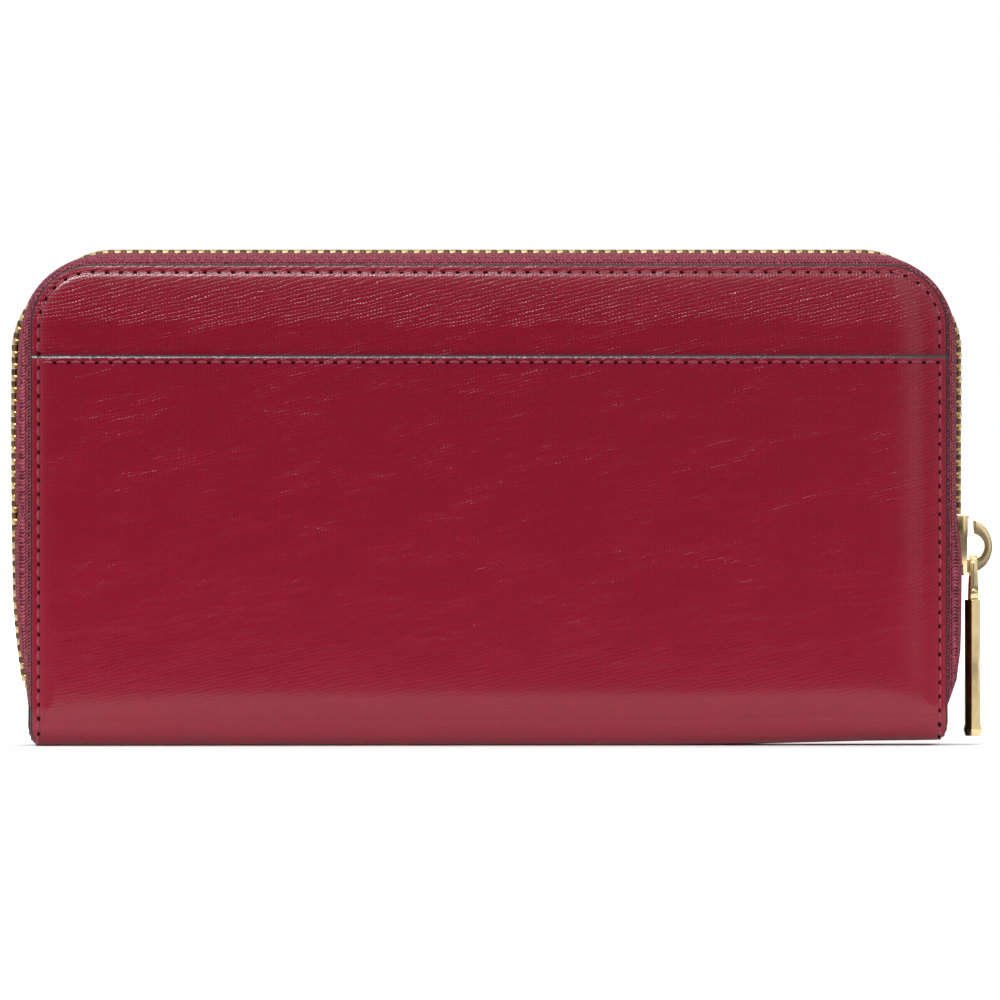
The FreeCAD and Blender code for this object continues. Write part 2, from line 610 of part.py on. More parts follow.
os.makedirs("parts", exist_ok=True)
for piece in pieces:
    piece.Shape.exportStep(f"parts/{piece.Label}.step")
    box = piece.Shape.BoundBox
    print(f"{piece.Label:24s} {len(piece.Shape.Solids):4d} solids {piece.Shape.Volume:10.1f} mm3"
          f"  x {box.XMin:7.2f} {box.XMax:7.2f}  y {box.YMin:7.2f} {box.YMax:7.2f}"
          f"  z {box.ZMin:6.2f} {box.ZMax:6.2f}")
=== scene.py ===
import bmesh
import bpy
import math
from mathutils import Matrix, Vector


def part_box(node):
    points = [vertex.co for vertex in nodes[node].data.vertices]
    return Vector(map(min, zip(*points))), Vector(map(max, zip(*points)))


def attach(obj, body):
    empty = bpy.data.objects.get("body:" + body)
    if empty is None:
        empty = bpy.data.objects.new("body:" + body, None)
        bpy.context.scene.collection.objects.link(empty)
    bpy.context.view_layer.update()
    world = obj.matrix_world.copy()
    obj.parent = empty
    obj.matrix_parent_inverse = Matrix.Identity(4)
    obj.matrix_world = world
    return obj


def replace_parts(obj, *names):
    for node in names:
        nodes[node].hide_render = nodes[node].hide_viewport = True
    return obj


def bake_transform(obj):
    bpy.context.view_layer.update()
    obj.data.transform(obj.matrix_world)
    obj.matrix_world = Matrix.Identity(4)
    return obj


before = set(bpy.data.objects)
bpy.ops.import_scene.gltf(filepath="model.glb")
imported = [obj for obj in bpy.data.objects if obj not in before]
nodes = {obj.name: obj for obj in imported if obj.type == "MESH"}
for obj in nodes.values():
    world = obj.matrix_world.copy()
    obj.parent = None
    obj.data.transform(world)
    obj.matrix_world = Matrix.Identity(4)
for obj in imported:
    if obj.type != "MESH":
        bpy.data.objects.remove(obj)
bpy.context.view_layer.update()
mm = 0.001


def highOf(node):
    # the upper corner of a node's box, in millimetres like every size below
    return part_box(node)[1] / mm


# the leather's outline, its thickness, and two heights given for a bend of the covers at the spine
wallet = {
    "half": highOf("rear_back_panel").x,
    "tall": highOf("rear_back_panel").z,
    "low": 3.5,
    "mouth": highOf("rear_pocket_leather").z,
    "corner": 13.0,
    "skin": 0.9,
    "blendLow": 0.4,
    "blendHigh": 8.0,
}


def only(*pieces):
    if bpy.context.object and bpy.context.object.mode != "OBJECT":
        bpy.ops.object.mode_set(mode="OBJECT")
    bpy.ops.object.select_all(action="DESELECT")
    for piece in pieces:
        piece.select_set(True)
    bpy.context.view_layer.objects.active = pieces[0]
    return pieces[0]


def edit(piece):
    only(piece)
    bpy.ops.object.mode_set(mode="EDIT")


def done(piece):
    bpy.ops.object.mode_set(mode="OBJECT")
    return piece


def centreOf(part):
    if hasattr(part, "co"):
        return part.co / mm
    return sum((v.co for v in part.verts), Vector()) / len(part.verts) / mm


def choose(piece, kind, test):
    # selects the vertices, edges or faces whose middle, in millimetres, passes the test
    bpy.ops.mesh.select_mode(type=kind)
    bpy.ops.mesh.select_all(action="DESELECT")
    shape = bmesh.from_edit_mesh(piece.data)
    for part in {"VERT": shape.verts, "EDGE": shape.edges, "FACE": shape.faces}[kind]:
        if test(centreOf(part)):
            part.select_set(True)
    bmesh.update_edit_mesh(piece.data)


def chooseAll():
    bpy.ops.mesh.select_all(action="SELECT")


def faceOutwards():
    chooseAll()
    bpy.ops.mesh.normals_make_consistent(inside=False)


def extrude(x=0.0, y=0.0, z=0.0):
    bpy.ops.mesh.extrude_region_move(TRANSFORM_OT_translate={"value": (x * mm, y * mm, z * mm)})


def slide(x=0.0, y=0.0, z=0.0):
    bpy.ops.transform.translate(value=(x * mm, y * mm, z * mm))


def swell(x=1.0, y=1.0, z=1.0, about=(0, 0, 0)):
    bpy.ops.transform.resize(value=(x, y, z), center_override=tuple(c * mm for c in about))


def cut(at, normal, clearOuter=False, clearInner=False):
    chooseAll()
    bpy.ops.mesh.bisect(plane_co=tuple(c * mm for c in at), plane_no=normal,
                        clear_outer=clearOuter, clear_inner=clearInner)


def cutRows(heights):
    for height in heights:
        cut((0, 0, height), (0, 0, 1))


def cutColumns(places):
    for place in places:
        cut((place, 0, 0), (1, 0, 0))


def settle(piece):
    # leaves the object at the origin, with its place in its mesh
    only(piece)
    bpy.ops.object.transform_apply(location=True, rotation=True, scale=True)
    return piece


def finishWith(piece, kind, **settings):
    only(piece)
    modifier = piece.modifiers.new(kind.lower(), kind)
    for key, value in settings.items():
        setattr(modifier, key, value)
    bpy.ops.object.modifier_apply(modifier=modifier.name)
    return piece


def joined(name, pieces):
    only(*pieces)
    if len(pieces) > 1:
        bpy.ops.object.join()
    piece = bpy.context.object
    piece.name = name
    return piece


def block(name, low, high):
    # a box between two corners
    bpy.ops.mesh.primitive_cube_add(size=1)
    piece = bpy.context.object
    piece.name = name
    piece.scale = [(b - a) * mm for a, b in zip(low, high)]
    piece.location = [(a + b) / 2 * mm for a, b in zip(low, high)]
    return settle(piece)


def uprightSheet(name, wide, low, high, level, tilt=90, x=0.0):
    # a flat sheet that stands at a level along Y
    bpy.ops.mesh.primitive_plane_add(size=1)
    piece = bpy.context.object
    piece.name = name
    piece.scale = (wide * mm, (high - low) * mm, 1)
    piece.rotation_euler = (math.radians(tilt), 0, 0)
    piece.location = (x * mm, level * mm, (low + high) / 2 * mm)
    return settle(piece)


def roundCorners(piece, top, radius, segments):
    choose(piece, "VERT", lambda p: p.z > top - 0.1)
    bpy.ops.mesh.bevel(offset=radius * mm, segments=segments, affect="VERTICES")


def softEdges(piece, width, segments=2, angle=30):
    return finishWith(piece, "BEVEL", width=width * mm, segments=segments, limit_method="ANGLE",
                      angle_limit=math.radians(angle), use_clamp_overlap=True)


def smooth(piece, angle=40):
    only(piece)
    bpy.ops.object.shade_smooth_by_angle(angle=math.radians(angle))
    return piece


def dress(piece, *finishes):
    piece.data.materials.clear()
    for finish in finishes:
        piece.data.materials.append(finish)
    return piece


def copyOf(piece, place):
    twin = piece.copy()
    twin.data = piece.data.copy()
    bpy.context.scene.collection.objects.link(twin)
    twin.matrix_world = place
    return twin


class Flow:
    # one output of a node: its operators add maths nodes after it
    def __init__(self, recipe, socket):
        self.recipe = recipe
        self.socket = socket

    def maths(self, operation, *values):
        return self.recipe.node("ShaderNodeMath", {"operation": operation}, list(values))

    def __add__(self, other):
        return self.maths("ADD", self, other)

    def __radd__(self, other):
        return self.maths("ADD", other, self)

    def __sub__(self, other):
        return self.maths("SUBTRACT", self, other)

    def __rsub__(self, other):
        return self.maths("SUBTRACT", other, self)

    def __mul__(self, other):
        return self.maths("MULTIPLY", self, other)

    def __pow__(self, other):
        return self.maths("POWER", self, other)

    def __abs__(self):
        return self.maths("ABSOLUTE", self)

    def sine(self):
        return self.maths("SINE", self)

    def limited(self, low, high):
        return self.maths("MAXIMUM", self.maths("MINIMUM", self, high), low)

    def ramp(self, low, high):
        # 0 below low, 1 above high, smooth between
        return self.recipe.node("ShaderNodeMapRange", {"interpolation_type": "SMOOTHSTEP"},
                                {"Value": self, "From Min": low, "From Max": high})


class Recipe:
    # one material, or the air of a world, built node by node
    def __init__(self, name, world=None):
        self.material = world or bpy.data.materials.new(name)
        self.material.use_nodes = True
        self.tree = self.material.node_tree
        self.shader = self.tree.nodes["Background" if world else "Principled BSDF"]

    def feed(self, socket, value):
        if isinstance(value, Flow):
            self.tree.links.new(value.socket, socket)
        elif isinstance(value, (tuple, list)) and len(value) == 3 and socket.type == "RGBA":
            socket.default_value = (*value, 1)
        else:
            socket.default_value = value

    def node(self, kind, settings=None, sockets=None, output=0):
        made = self.tree.nodes.new(kind)
        for key, value in (settings or {}).items():
            setattr(made, key, value)
        pairs = sockets.items() if isinstance(sockets, dict) else enumerate(sockets or [])
        for key, value in pairs:
            self.feed(made.inputs[key], value)
        return Flow(self, made.outputs[output])

    def split(self, vector):
        return [self.node("ShaderNodeSeparateXYZ", None, [vector], i) for i in range(3)]

    def place(self):
        # Object coordinates in millimetres
        spot = self.node("ShaderNodeTexCoord", None, None, "Object")
        return self.node("ShaderNodeVectorMath", {"operation": "SCALE"}, {"Vector": spot, "Scale": 1000.0})

    def vector(self, x, y, z=0.0):
        return self.node("ShaderNodeCombineXYZ", None, [x, y, z])

    def noise(self, vector, scale=1.0, detail=2.0, rough=0.5):
        return self.node("ShaderNodeTexNoise", None,
                         {"Vector": vector, "Scale": scale, "Detail": detail, "Roughness": rough})

    def mix(self, share, one, other):
        return self.node("ShaderNodeMix", {"data_type": "RGBA"}, {0: share, 6: one, 7: other}, 2)

    def bump(self, height, distance):
        return self.node("ShaderNodeBump", None,
                         {"Height": height, "Distance": distance * mm, "Strength": 1.0})

    def surface(self, **sockets):
        words = {"colour": "Base Color", "rough": "Roughness", "metal": "Metallic", "normal": "Normal",
                 "sheen": "Sheen Weight", "gloss": "Specular IOR Level", "glow": "Emission Color",
                 "glowStrength": "Emission Strength"}
        for key, value in sockets.items():
            self.feed(self.shader.inputs[words[key]], value)
        return self.material


def grainedLeather(name, colour, deep, reach=1.0):
    # coated leather with a fine pressed grain: upright columns crossed by rows that climb to the right
    grain = {"column": 0.68, "row": 0.74, "climb": 13, "depth": 0.035, "rough": 0.11,
             "spineTurn": 13.0, "deeperFrom": 85.0, "deeperTo": 91.0}
    leather = Recipe(name)
    x, y, z = leather.split(leather.place())
    # height on the covers, carried on under the spine
    down = z + abs(y) - grain["spineTurn"]
    turn = math.radians(grain["climb"])
    along = x * math.cos(turn) + down * math.sin(turn)
    across = down * math.cos(turn) - x * math.sin(turn)
    drift = leather.noise(leather.vector(along * 0.06, across * 0.16))
    sway = leather.noise(leather.vector(along * 0.16, across * 0.5)) - 0.5
    rows = ((across + sway * 1.1) * (2 * math.pi / grain["row"])).sine().ramp(-0.75, 0.35)
    columns = ((x + sway * 0.7) * (2 * math.pi / grain["column"])).sine().ramp(-0.85, 0.25)
    streaks = leather.noise(leather.vector(along * 0.3, across * 1.5))
    broad = leather.noise(leather.vector(along * 0.035, across * 0.11, 3.0))
    patch = drift.ramp(0.34, 0.66)
    # the grain is pressed deeper near the cover's top
    deeper = z.ramp(grain["deeperFrom"], grain["deeperTo"]) * 0.75 + 0.45
    weave = rows * columns * (patch * 0.35 + 0.65) * deeper
    pores = leather.noise(leather.vector(along, across), 4.5)
    height = weave * 0.95 + (streaks - 0.5) * 0.3 + (pores - 0.5) * 0.12 + (broad - 0.5) * 0.9
    shade = (streaks.ramp(0.3, 0.7) * 0.35 + weave * 0.4 + patch * 0.25).limited(0.0, 1.0)
    return leather.surface(
        colour=leather.mix(shade, deep, colour), gloss=0.48,
        rough=grain["rough"] + (1.0 - shade) * 0.05,
        normal=leather.bump(height, grain["depth"] * reach))


def edgePaint(name, colour, gloss):
    varnish = Recipe(name)
    waves = varnish.noise(varnish.place(), 1.4)
    deep = tuple(c * 0.75 for c in colour)
    return varnish.surface(colour=varnish.mix(waves.ramp(0.3, 0.7), deep, colour),
                           rough=0.16 + waves * 0.08, gloss=gloss, normal=varnish.bump(waves, 0.05))


def wovenTape(name, colour, deep):
    # chevron ribs along the tape: the piece's UV map runs along it and across it, in millimetres
    weave = {"rib": 0.7, "thread": 0.6, "herring": 1.2, "depth": 0.25}
    tape = Recipe(name)
    along, across, _ = tape.split(tape.node("ShaderNodeTexCoord", None, None, "UV"))
    fold = abs(tape.node("ShaderNodeMath", {"operation": "PINGPONG"}, [across, weave["herring"]]))
    fuzz = tape.noise(tape.vector(along * 1.3, across * 1.5), 1.0, 3.0, 0.65) - 0.5
    ribs = ((along + fold * 0.85 + fuzz * 0.5) * (2 * math.pi / weave["rib"])).sine()
    threads = ((across + fuzz * 0.3) * (2 * math.pi / weave["thread"])).sine()
    height = ribs * 0.35 + threads * 0.25 + fuzz * 2.2
    shade = (height * 0.95 + 0.42).limited(0.0, 1.0)
    return tape.surface(colour=tape.mix(shade, deep, colour), rough=0.85, gloss=0.25,
                        normal=tape.bump(height, weave["depth"]))


def polishedMetal(name, colour, deep, rough):
    metal = Recipe(name)
    spot = metal.place()
    haze = metal.noise(spot, 0.25)
    fine = metal.noise(spot, 6.0)
    return metal.surface(colour=metal.mix(haze.ramp(0.35, 0.65), deep, colour), metal=1.0,
                         rough=rough + haze * 0.04 + fine * 0.02, normal=metal.bump(haze, 0.02))


def threadFinish(name, colour, deep):
    # plies that run across the stitches at a slant
    twist = {"ply": 0.42, "depth": 0.06}
    thread = Recipe(name)
    x, y, z = thread.split(thread.place())
    ply = ((x * 0.8 + z * 0.9 + y * 0.3) * (2 * math.pi / twist["ply"])).sine()
    return thread.surface(colour=thread.mix((ply * 0.5 + 0.5), deep, colour), rough=0.4,
                          normal=thread.bump(ply, twist["depth"]))


def clothFinish(name, colour, deep):
    # a plain fine weave, threads up and across
    weave = {"thread": 0.5, "depth": 0.05}
    cloth = Recipe(name)
    x, y, z = cloth.split(cloth.place())
    fuzz = cloth.noise(cloth.vector(x * 1.5, z * 1.5, y * 1.5), 1.0, 3.0) - 0.5
    step = 2 * math.pi / weave["thread"]
    height = ((x + fuzz * 0.2) * step).sine() * ((z + y + fuzz * 0.2) * step).sine() + fuzz
    shade = (height * 0.4 + 0.5).limited(0.0, 1.0)
    return cloth.surface(colour=cloth.mix(shade, deep, colour), rough=0.7, sheen=0.3,
                         normal=cloth.bump(height, weave["depth"]))


finishes = {
    "leather": grainedLeather("wineLeather", (0.232, 0.0042, 0.021), (0.188, 0.0036, 0.017)),
    "edge": edgePaint("edgePaint", (0.035, 0.019, 0.02), 0.2),
    "lip": edgePaint("pocketLipPaint", (0.05, 0.027, 0.028), 0.6),
    "tape": wovenTape("zipTapeWeave", (0.46, 0.08, 0.125), (0.055, 0.005, 0.011)),
    "coinTape": wovenTape("coinTapeWeave", (0.3, 0.07, 0.1), (0.12, 0.022, 0.035)),
    "teeth": polishedMetal("toothMetal", (0.62, 0.44, 0.16), (0.42, 0.28, 0.09), 0.22),
    # painted shade and reflection: a darker, rougher gold for metal faces turned towards the dark wallet
    "paintedShadeGold": polishedMetal("paintedShadeGoldPlate", (0.2, 0.13, 0.04), (0.13, 0.08, 0.02), 0.35),
    # painted shade for the teeth: a dark copy of the tooth metal for the faces inside the interlock
    "toothPaintedShade": polishedMetal("toothPaintedShadeMetal", (0.16, 0.09, 0.03), (0.09, 0.045, 0.02), 0.4),
    "gold": polishedMetal("goldPlate", (0.93, 0.74, 0.43), (0.86, 0.66, 0.34), 0.15),
    "thread": threadFinish("wineThread", (0.42, 0.065, 0.11), (0.17, 0.012, 0.03)),
    # painted shade: a near-black matt colour standing in for the shade inside each needle hole
    "hole": Recipe("needleHoleShade").surface(colour=(0.01, 0.0015, 0.002), rough=0.9, gloss=0.1),
    "cards": grainedLeather("cardLeather", (0.2, 0.012, 0.026), (0.14, 0.008, 0.018), 0.5),
    "lining": clothFinish("liningCloth", (0.2, 0.03, 0.05), (0.11, 0.014, 0.026)),
    "board": clothFinish("packingBoard", (0.33, 0.27, 0.2), (0.24, 0.19, 0.14)),
    "foam": clothFinish("paddingFoam", (0.12, 0.03, 0.035), (0.07, 0.018, 0.02)),
}
print("finishes made")


# how far the face stands out from the level of its edge, by distance in from the edge
crown = {"rise": 1.0, "reach": 12.0, "power": 2.5, "seam": 1.7, "seamDeep": 0.1, "seamWide": 0.32,
         "rings": (0.42, 1.0, 1.35, 1.7, 2.05, 2.5, 3.2, 4.1, 5.2, 6.6, 8.6, 11.6),
         "rows": (8.0, 14.0, 30.0, 50.0, 70.0), "columns": (-60.0, -20.0, 20.0, 38.0, 52.0, 66.0, 78.0)}
foot = {"lift": 1.1, "reach": 60.0, "atEnd": 4.0}


def crownRise(inward):
    share = max(0.0, 1 - inward / crown["reach"])
    seam = crown["seamDeep"] * math.exp(-((inward - crown["seam"]) / crown["seamWide"]) ** 2)
    return crown["rise"] * (1 - share ** crown["power"]) - seam


def inwardOf(p):
    # distance in from a cover's rim, whose top corners are round
    corner = wallet["corner"]
    inX, inZ = wallet["half"] - abs(p.x), wallet["tall"] - p.z
    if inX < corner and inZ < corner:
        return corner - math.hypot(corner - inX, corner - inZ)
    return min(inX, inZ)


def paint(piece, finish, test):
    # gives the faces that pass the test another of the piece's finishes
    choose(piece, "FACE", test)
    piece.active_material_index = finish
    bpy.ops.object.material_slot_assign()


def coverSheet(name, side, edge, low):
    # an upright sheet with two round top corners, crowned by a ladder of insets
    # side is -1 for the rear and 1 for the front; edge is how far out the sheet's rim lies
    piece = uprightSheet(name, 2 * wallet["half"], low, wallet["tall"], side * edge, -90 * side)
    edit(piece)
    roundCorners(piece, wallet["tall"], wallet["corner"], 14)
    bpy.ops.mesh.select_mode(type="FACE")
    chooseAll()
    before = 0.0
    for ring in crown["rings"]:
        bpy.ops.mesh.inset(thickness=(ring - before) * mm, depth=(crownRise(ring) - crownRise(before)) * mm,
                           use_boundary=True, use_even_offset=True)
        before = ring
    dress(piece, finishes["leather"], finishes["edge"])
    paint(piece, 1, lambda p: inwardOf(p) < crown["rings"][0])
    cutRows(crown["rows"])
    cutColumns(crown["columns"])
    return piece


def liftFoot(piece):
    # the spine's far end sits a little off the ground
    choose(piece, "VERT", lambda p: p.z < wallet["low"] + 0.1 and p.x > wallet["half"] - foot["atEnd"])
    bpy.ops.transform.translate(value=(0, 0, foot["lift"] * mm), use_proportional_edit=True,
                                proportional_edit_falloff="SMOOTH", proportional_size=foot["reach"] * mm)


def spineWrap(piece, side, edge):
    # the sheet's lower edge rolls under and runs flat to the middle of the spine
    low = wallet["low"]
    lean = math.atan(crown["power"] * crown["rise"] / crown["reach"])
    radius = low / (1 - math.sin(lean))
    steps = 7
    choose(piece, "EDGE", lambda p: p.z < low + 0.01)
    spots = []
    for step in range(steps + 1):
        angle = lean + (math.pi / 2 - lean) * step / steps
        inwards = radius * (math.cos(lean) - math.cos(angle))
        spots.append((inwards, radius * (math.sin(angle) - math.sin(lean))))
    for (inBefore, downBefore), (inNow, downNow) in zip(spots, spots[1:]):
        extrude(y=-side * (inNow - inBefore), z=-(downNow - downBefore))
    extrude(y=-side * (edge - spots[-1][0]))
    # the ends draw in a little where the leather turns under
    for height, share in ((2.8, 0.998), (1.6, 0.996), (0.6, 0.993)):
        choose(piece, "VERT", lambda p: p.z < height)
        swell(x=share)
    liftFoot(piece)
    paint(piece, 0, lambda p: p.z < low + 0.3 and abs(p.x) < wallet["half"] - 0.8)


def paintedEdges(piece, thickness, bead=0.34):
    # gives the sheet its thickness, then a round painted bead along its raw edges
    done(piece)
    finishWith(piece, "SOLIDIFY", thickness=thickness * mm, offset=-1, use_even_offset=True,
               material_offset_rim=1)
    edit(piece)
    bpy.ops.mesh.select_mode(type="EDGE")
    bpy.ops.mesh.select_all(action="DESELECT")
    bpy.ops.mesh.edges_select_sharp(sharpness=math.radians(60))
    shape = bmesh.from_edit_mesh(piece.data)
    for line in shape.edges:
        if line.select and abs(centreOf(line).y) < 0.05:
            line.select_set(False)
    bmesh.update_edit_mesh(piece.data)
    bpy.ops.mesh.bevel(offset=bead * mm, segments=3, material=1)
    return done(piece)


shell = {"backEdge": 11.0, "pocketEdge": 12.0, "frontEdge": 12.0, "lipHigh": 0.8, "lipDeep": 0.195,
         "backLow": 4.4, "mouthRows": (1.2, 2.5, 6.0)}

rearBack = coverSheet("rearBackLeather", -1, shell["backEdge"], shell["backLow"])
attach(smooth(paintedEdges(rearBack, wallet["skin"])), "rear_half")
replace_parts(rearBack, "rear_back_panel")

rearPocket = coverSheet("rearPocketLeather", -1, shell["pocketEdge"], wallet["low"])
cut((0, 0, wallet["mouth"]), (0, 0, 1), clearOuter=True)
spineWrap(rearPocket, -1, shell["pocketEdge"])
for height in (shell["lipHigh"], *shell["mouthRows"]):
    cut((0, 0, wallet["mouth"] - height), (0, 0, 1))
choose(rearPocket, "VERT", lambda p: p.z > wallet["mouth"] - 0.01)
slide(y=shell["lipDeep"])
dress(rearPocket, finishes["leather"], finishes["edge"], finishes["lip"])
paint(rearPocket, 2, lambda p: p.z > wallet["mouth"] - shell["lipHigh"])
smooth(paintedEdges(rearPocket, wallet["skin"]))

frontSkin = coverSheet("frontLeather", 1, shell["frontEdge"], wallet["low"])
spineWrap(frontSkin, 1, shell["frontEdge"])
smooth(paintedEdges(frontSkin, wallet["skin"]))


def bendAtSpine(piece, side):
    at = side * shell["pocketEdge"] * mm
    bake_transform(piece)


bendAtSpine(rearPocket, -1)
bendAtSpine(frontSkin, 1)
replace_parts(rearPocket, "rear_pocket_leather", "spine_leather")
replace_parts(frontSkin, "front_leather")
print("covers made")


# the main zip: how far it reaches, how its left foot draws in, and its line of teeth
zipRun = {"side": highOf("rear_tape").x, "top": highOf("rear_tape").z, "round": 19.0, "foot": 8.2,
          "leftBend": 13.4, "leftFull": 32.0, "leftDraw": 1.85, "leftOut": 0.35, "outAt": 62.0,
          "outReach": 30.0, "pitch": 2.46, "toothSide": highOf("rear_teeth").x - 1.45,
          "toothTop": highOf("rear_teeth").z - 1.45, "toothRound": 19.45, "cornerTuck": 0.9, "endGap": 0.6,
          "tape": 0.32, "swellTop": 48.5}
# the tape's section: how far out from the leather's rim at the side and at the top, its corner, its level
tapeRails = ((-3.0, -3.0, 10.0, 9.75), (0.05, 0.0, 13.0, 9.8), (0.75, 0.7, 14.2, 9.35), (1.4, 1.3, 15.8, 8.2),
             (1.85, 1.8, 17.4, 6.6), (2.1, 2.1, 18.6, 4.6), (2.2, 2.25, 19.4, 2.6), (2.2, 2.3, 19.6, 1.0))
# how much further out the tape swells at each height: (height, near the leather, near the teeth)
rightSwell = ((44.0, 1.22, 1.1), (41.7, 1.44, 1.2), (38.0, 1.68, 1.2), (34.6, 1.68, 1.2), (30.0, 1.66, 1.4),
              (27.0, 1.64, 1.4), (23.0, 1.6, 1.4), (19.6, 1.55, 1.35), (13.4, 1.1, 0.95), (8.2, 0.08, 0.08))
leftSwell = ((78.0, 1.3, 1.1), (70.0, 1.5, 1.2), (60.0, 1.6, 1.28), (50.0, 1.64, 1.3), (44.0, 1.64, 1.3),
             (41.7, 1.63, 1.3), (38.0, 1.62, 1.29), (34.6, 1.6, 1.28), (30.0, 1.5, 1.22), (27.0, 1.4, 1.1),
             (23.0, 1.22, 0.9), (19.6, 1.0, 0.68), (13.4, 0.38, 0.22), (8.2, 0.03, 0.03))


def railLoop(side, top, corner, level):
    # one edge of the tape as a bare line, up one side of the wallet and down the other
    crest = wallet["tall"] + top
    piece = uprightSheet("rail", 2 * (wallet["half"] + side), 0.0, crest, -level)
    edit(piece)
    roundCorners(piece, crest, corner, 20)
    chooseAll()
    bpy.ops.mesh.delete(type="ONLY_FACE")
    choose(piece, "EDGE", lambda p: p.z < 0.01)
    bpy.ops.mesh.delete(type="EDGE")
    return done(piece)


def alongOutline(half, crest, corner, x, z):
    # distance along a round-cornered outline from its left foot to the point beside (x, z)
    quarter = corner * math.pi / 2
    centreX, centreZ = half - corner, crest - corner
    if z < centreZ:
        if x < 0:
            return z
        return centreZ + 2 * quarter + 2 * centreX + (centreZ - z)
    if abs(x) < centreX:
        return centreZ + quarter + x + centreX
    angle = math.atan2(z - centreZ, abs(x) - centreX)
    if x < 0:
        return centreZ + angle * corner
    return centreZ + quarter + 2 * centreX + (math.pi / 2 - angle) * corner


def mapAlongTape(piece):
    # UV in millimetres: along the zip, and across the tape from the teeth outwards
    sheet = piece.data.uv_layers.new(name="alongTape")
    for loop in piece.data.loops:
        x, y, z = piece.data.vertices[loop.vertex_index].co / mm
        outward = max(abs(x) - wallet["half"], z - wallet["tall"], -3.0)
        across = abs(y) if abs(y) < 9.0 else 9.7 - outward
        along = alongOutline(zipRun["side"], zipRun["top"], zipRun["round"], x, z)
        sheet.data[loop.index].uv = (along, across)


def tapeHalf(name, side):
    rails = [railLoop(*rail) for rail in tapeRails]
    piece = joined(name, rails)
    edit(piece)
    for (_, _, _, first), (_, _, _, second) in zip(tapeRails, tapeRails[1:]):
        choose(piece, "EDGE", lambda p: abs(-p.y - first) < 0.001 or abs(-p.y - second) < 0.001)
        bpy.ops.mesh.bridge_edge_loops()
    for height in [row[0] for row in leftSwell] + [zipRun["swellTop"]]:
        cut((0, 0, height), (0, 0, 1), clearInner=height == zipRun["foot"])
    rim = wallet["half"]
    for hand, swells in ((1, rightSwell), (-1, leftSwell)):
        for height, nearLeather, nearTeeth in swells:
            for share, low, high in ((nearLeather, 6.0, 9.7), (nearTeeth, 0.0, 6.0)):
                choose(piece, "VERT", lambda p: (p.x * hand > rim + 0.02 and abs(p.z - height) < 0.01
                                                 and low < -p.y < high))
                swell(x=share, about=(hand * rim, 0, 0))
    faceOutwards()
    done(piece)
    facing = sum(f.normal.z * f.area for f in piece.data.polygons if f.center.z > 0.1)
    if facing < 0:
        piece.data.flip_normals()
    finishWith(piece, "SOLIDIFY", thickness=zipRun["tape"] * mm, offset=-1, use_even_offset=True)
    if side > 0:
        piece.scale = (1, -1, 1)
        settle(piece)
        piece.data.flip_normals()
    mapAlongTape(piece)
    return smooth(dress(piece, finishes["tape"]))


for name, side, body in (("rearZipTape", -1, "rear_half"), ("frontZipTape", 1, "front_half")):
    tape = tapeHalf(name, side)
    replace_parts(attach(tape, body), body.replace("half", "tape"))


def outlineSpot(distance, half, crest, corner):
    # place and outward angle along a round-cornered outline, from the ground below its left side
    centreX, centreZ = half - corner, crest - corner
    quarter = corner * math.pi / 2
    if distance < centreZ:
        return -half, distance, math.pi
    distance -= centreZ
    if distance < quarter:
        angle = math.pi - distance / corner
        return -centreX + corner * math.cos(angle), centreZ + corner * math.sin(angle), angle
    distance -= quarter
    if distance < 2 * centreX:
        return distance - centreX, crest, math.pi / 2
    distance -= 2 * centreX
    if distance < quarter:
        angle = math.pi / 2 - distance / corner
        return centreX + corner * math.cos(angle), centreZ + corner * math.sin(angle), angle
    return half, centreZ - (distance - quarter), 0.0


def alongZip(distance):
    # the inner line of the teeth, drawn in at its left foot
    x, z, angle = outlineSpot(distance, zipRun["toothSide"], zipRun["toothTop"], zipRun["toothRound"])
    if x < 0 and z < zipRun["leftFull"]:
        rise = zipRun["leftFull"] - zipRun["leftBend"]
        share = (zipRun["leftFull"] - z) / rise
        x += zipRun["leftDraw"] * share ** 1.6
        angle += math.atan(1.6 * zipRun["leftDraw"] / rise * share ** 0.6)
    if x < 0:
        x -= zipRun["leftOut"] * max(0.0, 1 - ((z - zipRun["outAt"]) / zipRun["outReach"]) ** 2)
    # round the corners the teeth sink between the tapes
    tuck = 0.0
    if z > zipRun["toothTop"] - zipRun["toothRound"]:
        tuck = zipRun["cornerTuck"] * math.sin(2 * angle) ** 2
    return x - tuck * math.cos(angle), z - tuck * math.sin(angle), angle


def oneTooth():
    # X outward, Y across towards the other row, Z along the zip
    tooth = block("tooth", (-0.35, -2.7, -0.74), (1.4, -0.75, 0.74))
    edit(tooth)
    choose(tooth, "FACE", lambda p: p.y > -0.8)
    extrude(y=0.4)
    swell(x=0.55, z=0.45, about=(0.25, 0, 0))
    extrude(y=0.75)
    swell(x=0.9, z=1.3, about=(0.25, 0, 0))
    choose(tooth, "FACE", lambda p: p.y < -2.6)
    swell(x=0.6, z=0.8, about=(0.0, 0, 0))
    dress(tooth, finishes["teeth"], finishes["toothPaintedShade"])
    # the faces towards the other row, heads and tapers, get a painted shade: a dark metal standing in for the
    # shade inside the interlock
    paint(tooth, 1, lambda p: p.y > -0.76)
    done(tooth)
    return softEdges(tooth, 0.3, 2, 30)


def teethRow(name, side, shift):
    tooth = oneTooth()
    copies = []
    distance = zipRun["leftBend"] + zipRun["endGap"] + shift
    while True:
        x, z, angle = alongZip(distance)
        if x > 0 and z < highOf("slider_body").z + zipRun["endGap"]:
            break
        turn = Matrix.Rotation(-angle, 4, "Y")
        place = Matrix.Translation(Vector((x, 0, z)) * mm) @ turn
        if side > 0:
            place = place @ Matrix.Rotation(math.pi, 4, "X")
        copies.append(copyOf(tooth, place))
        distance += zipRun["pitch"]
    bpy.data.objects.remove(tooth)
    row = settle(joined(name, copies))
    return smooth(row, 35)


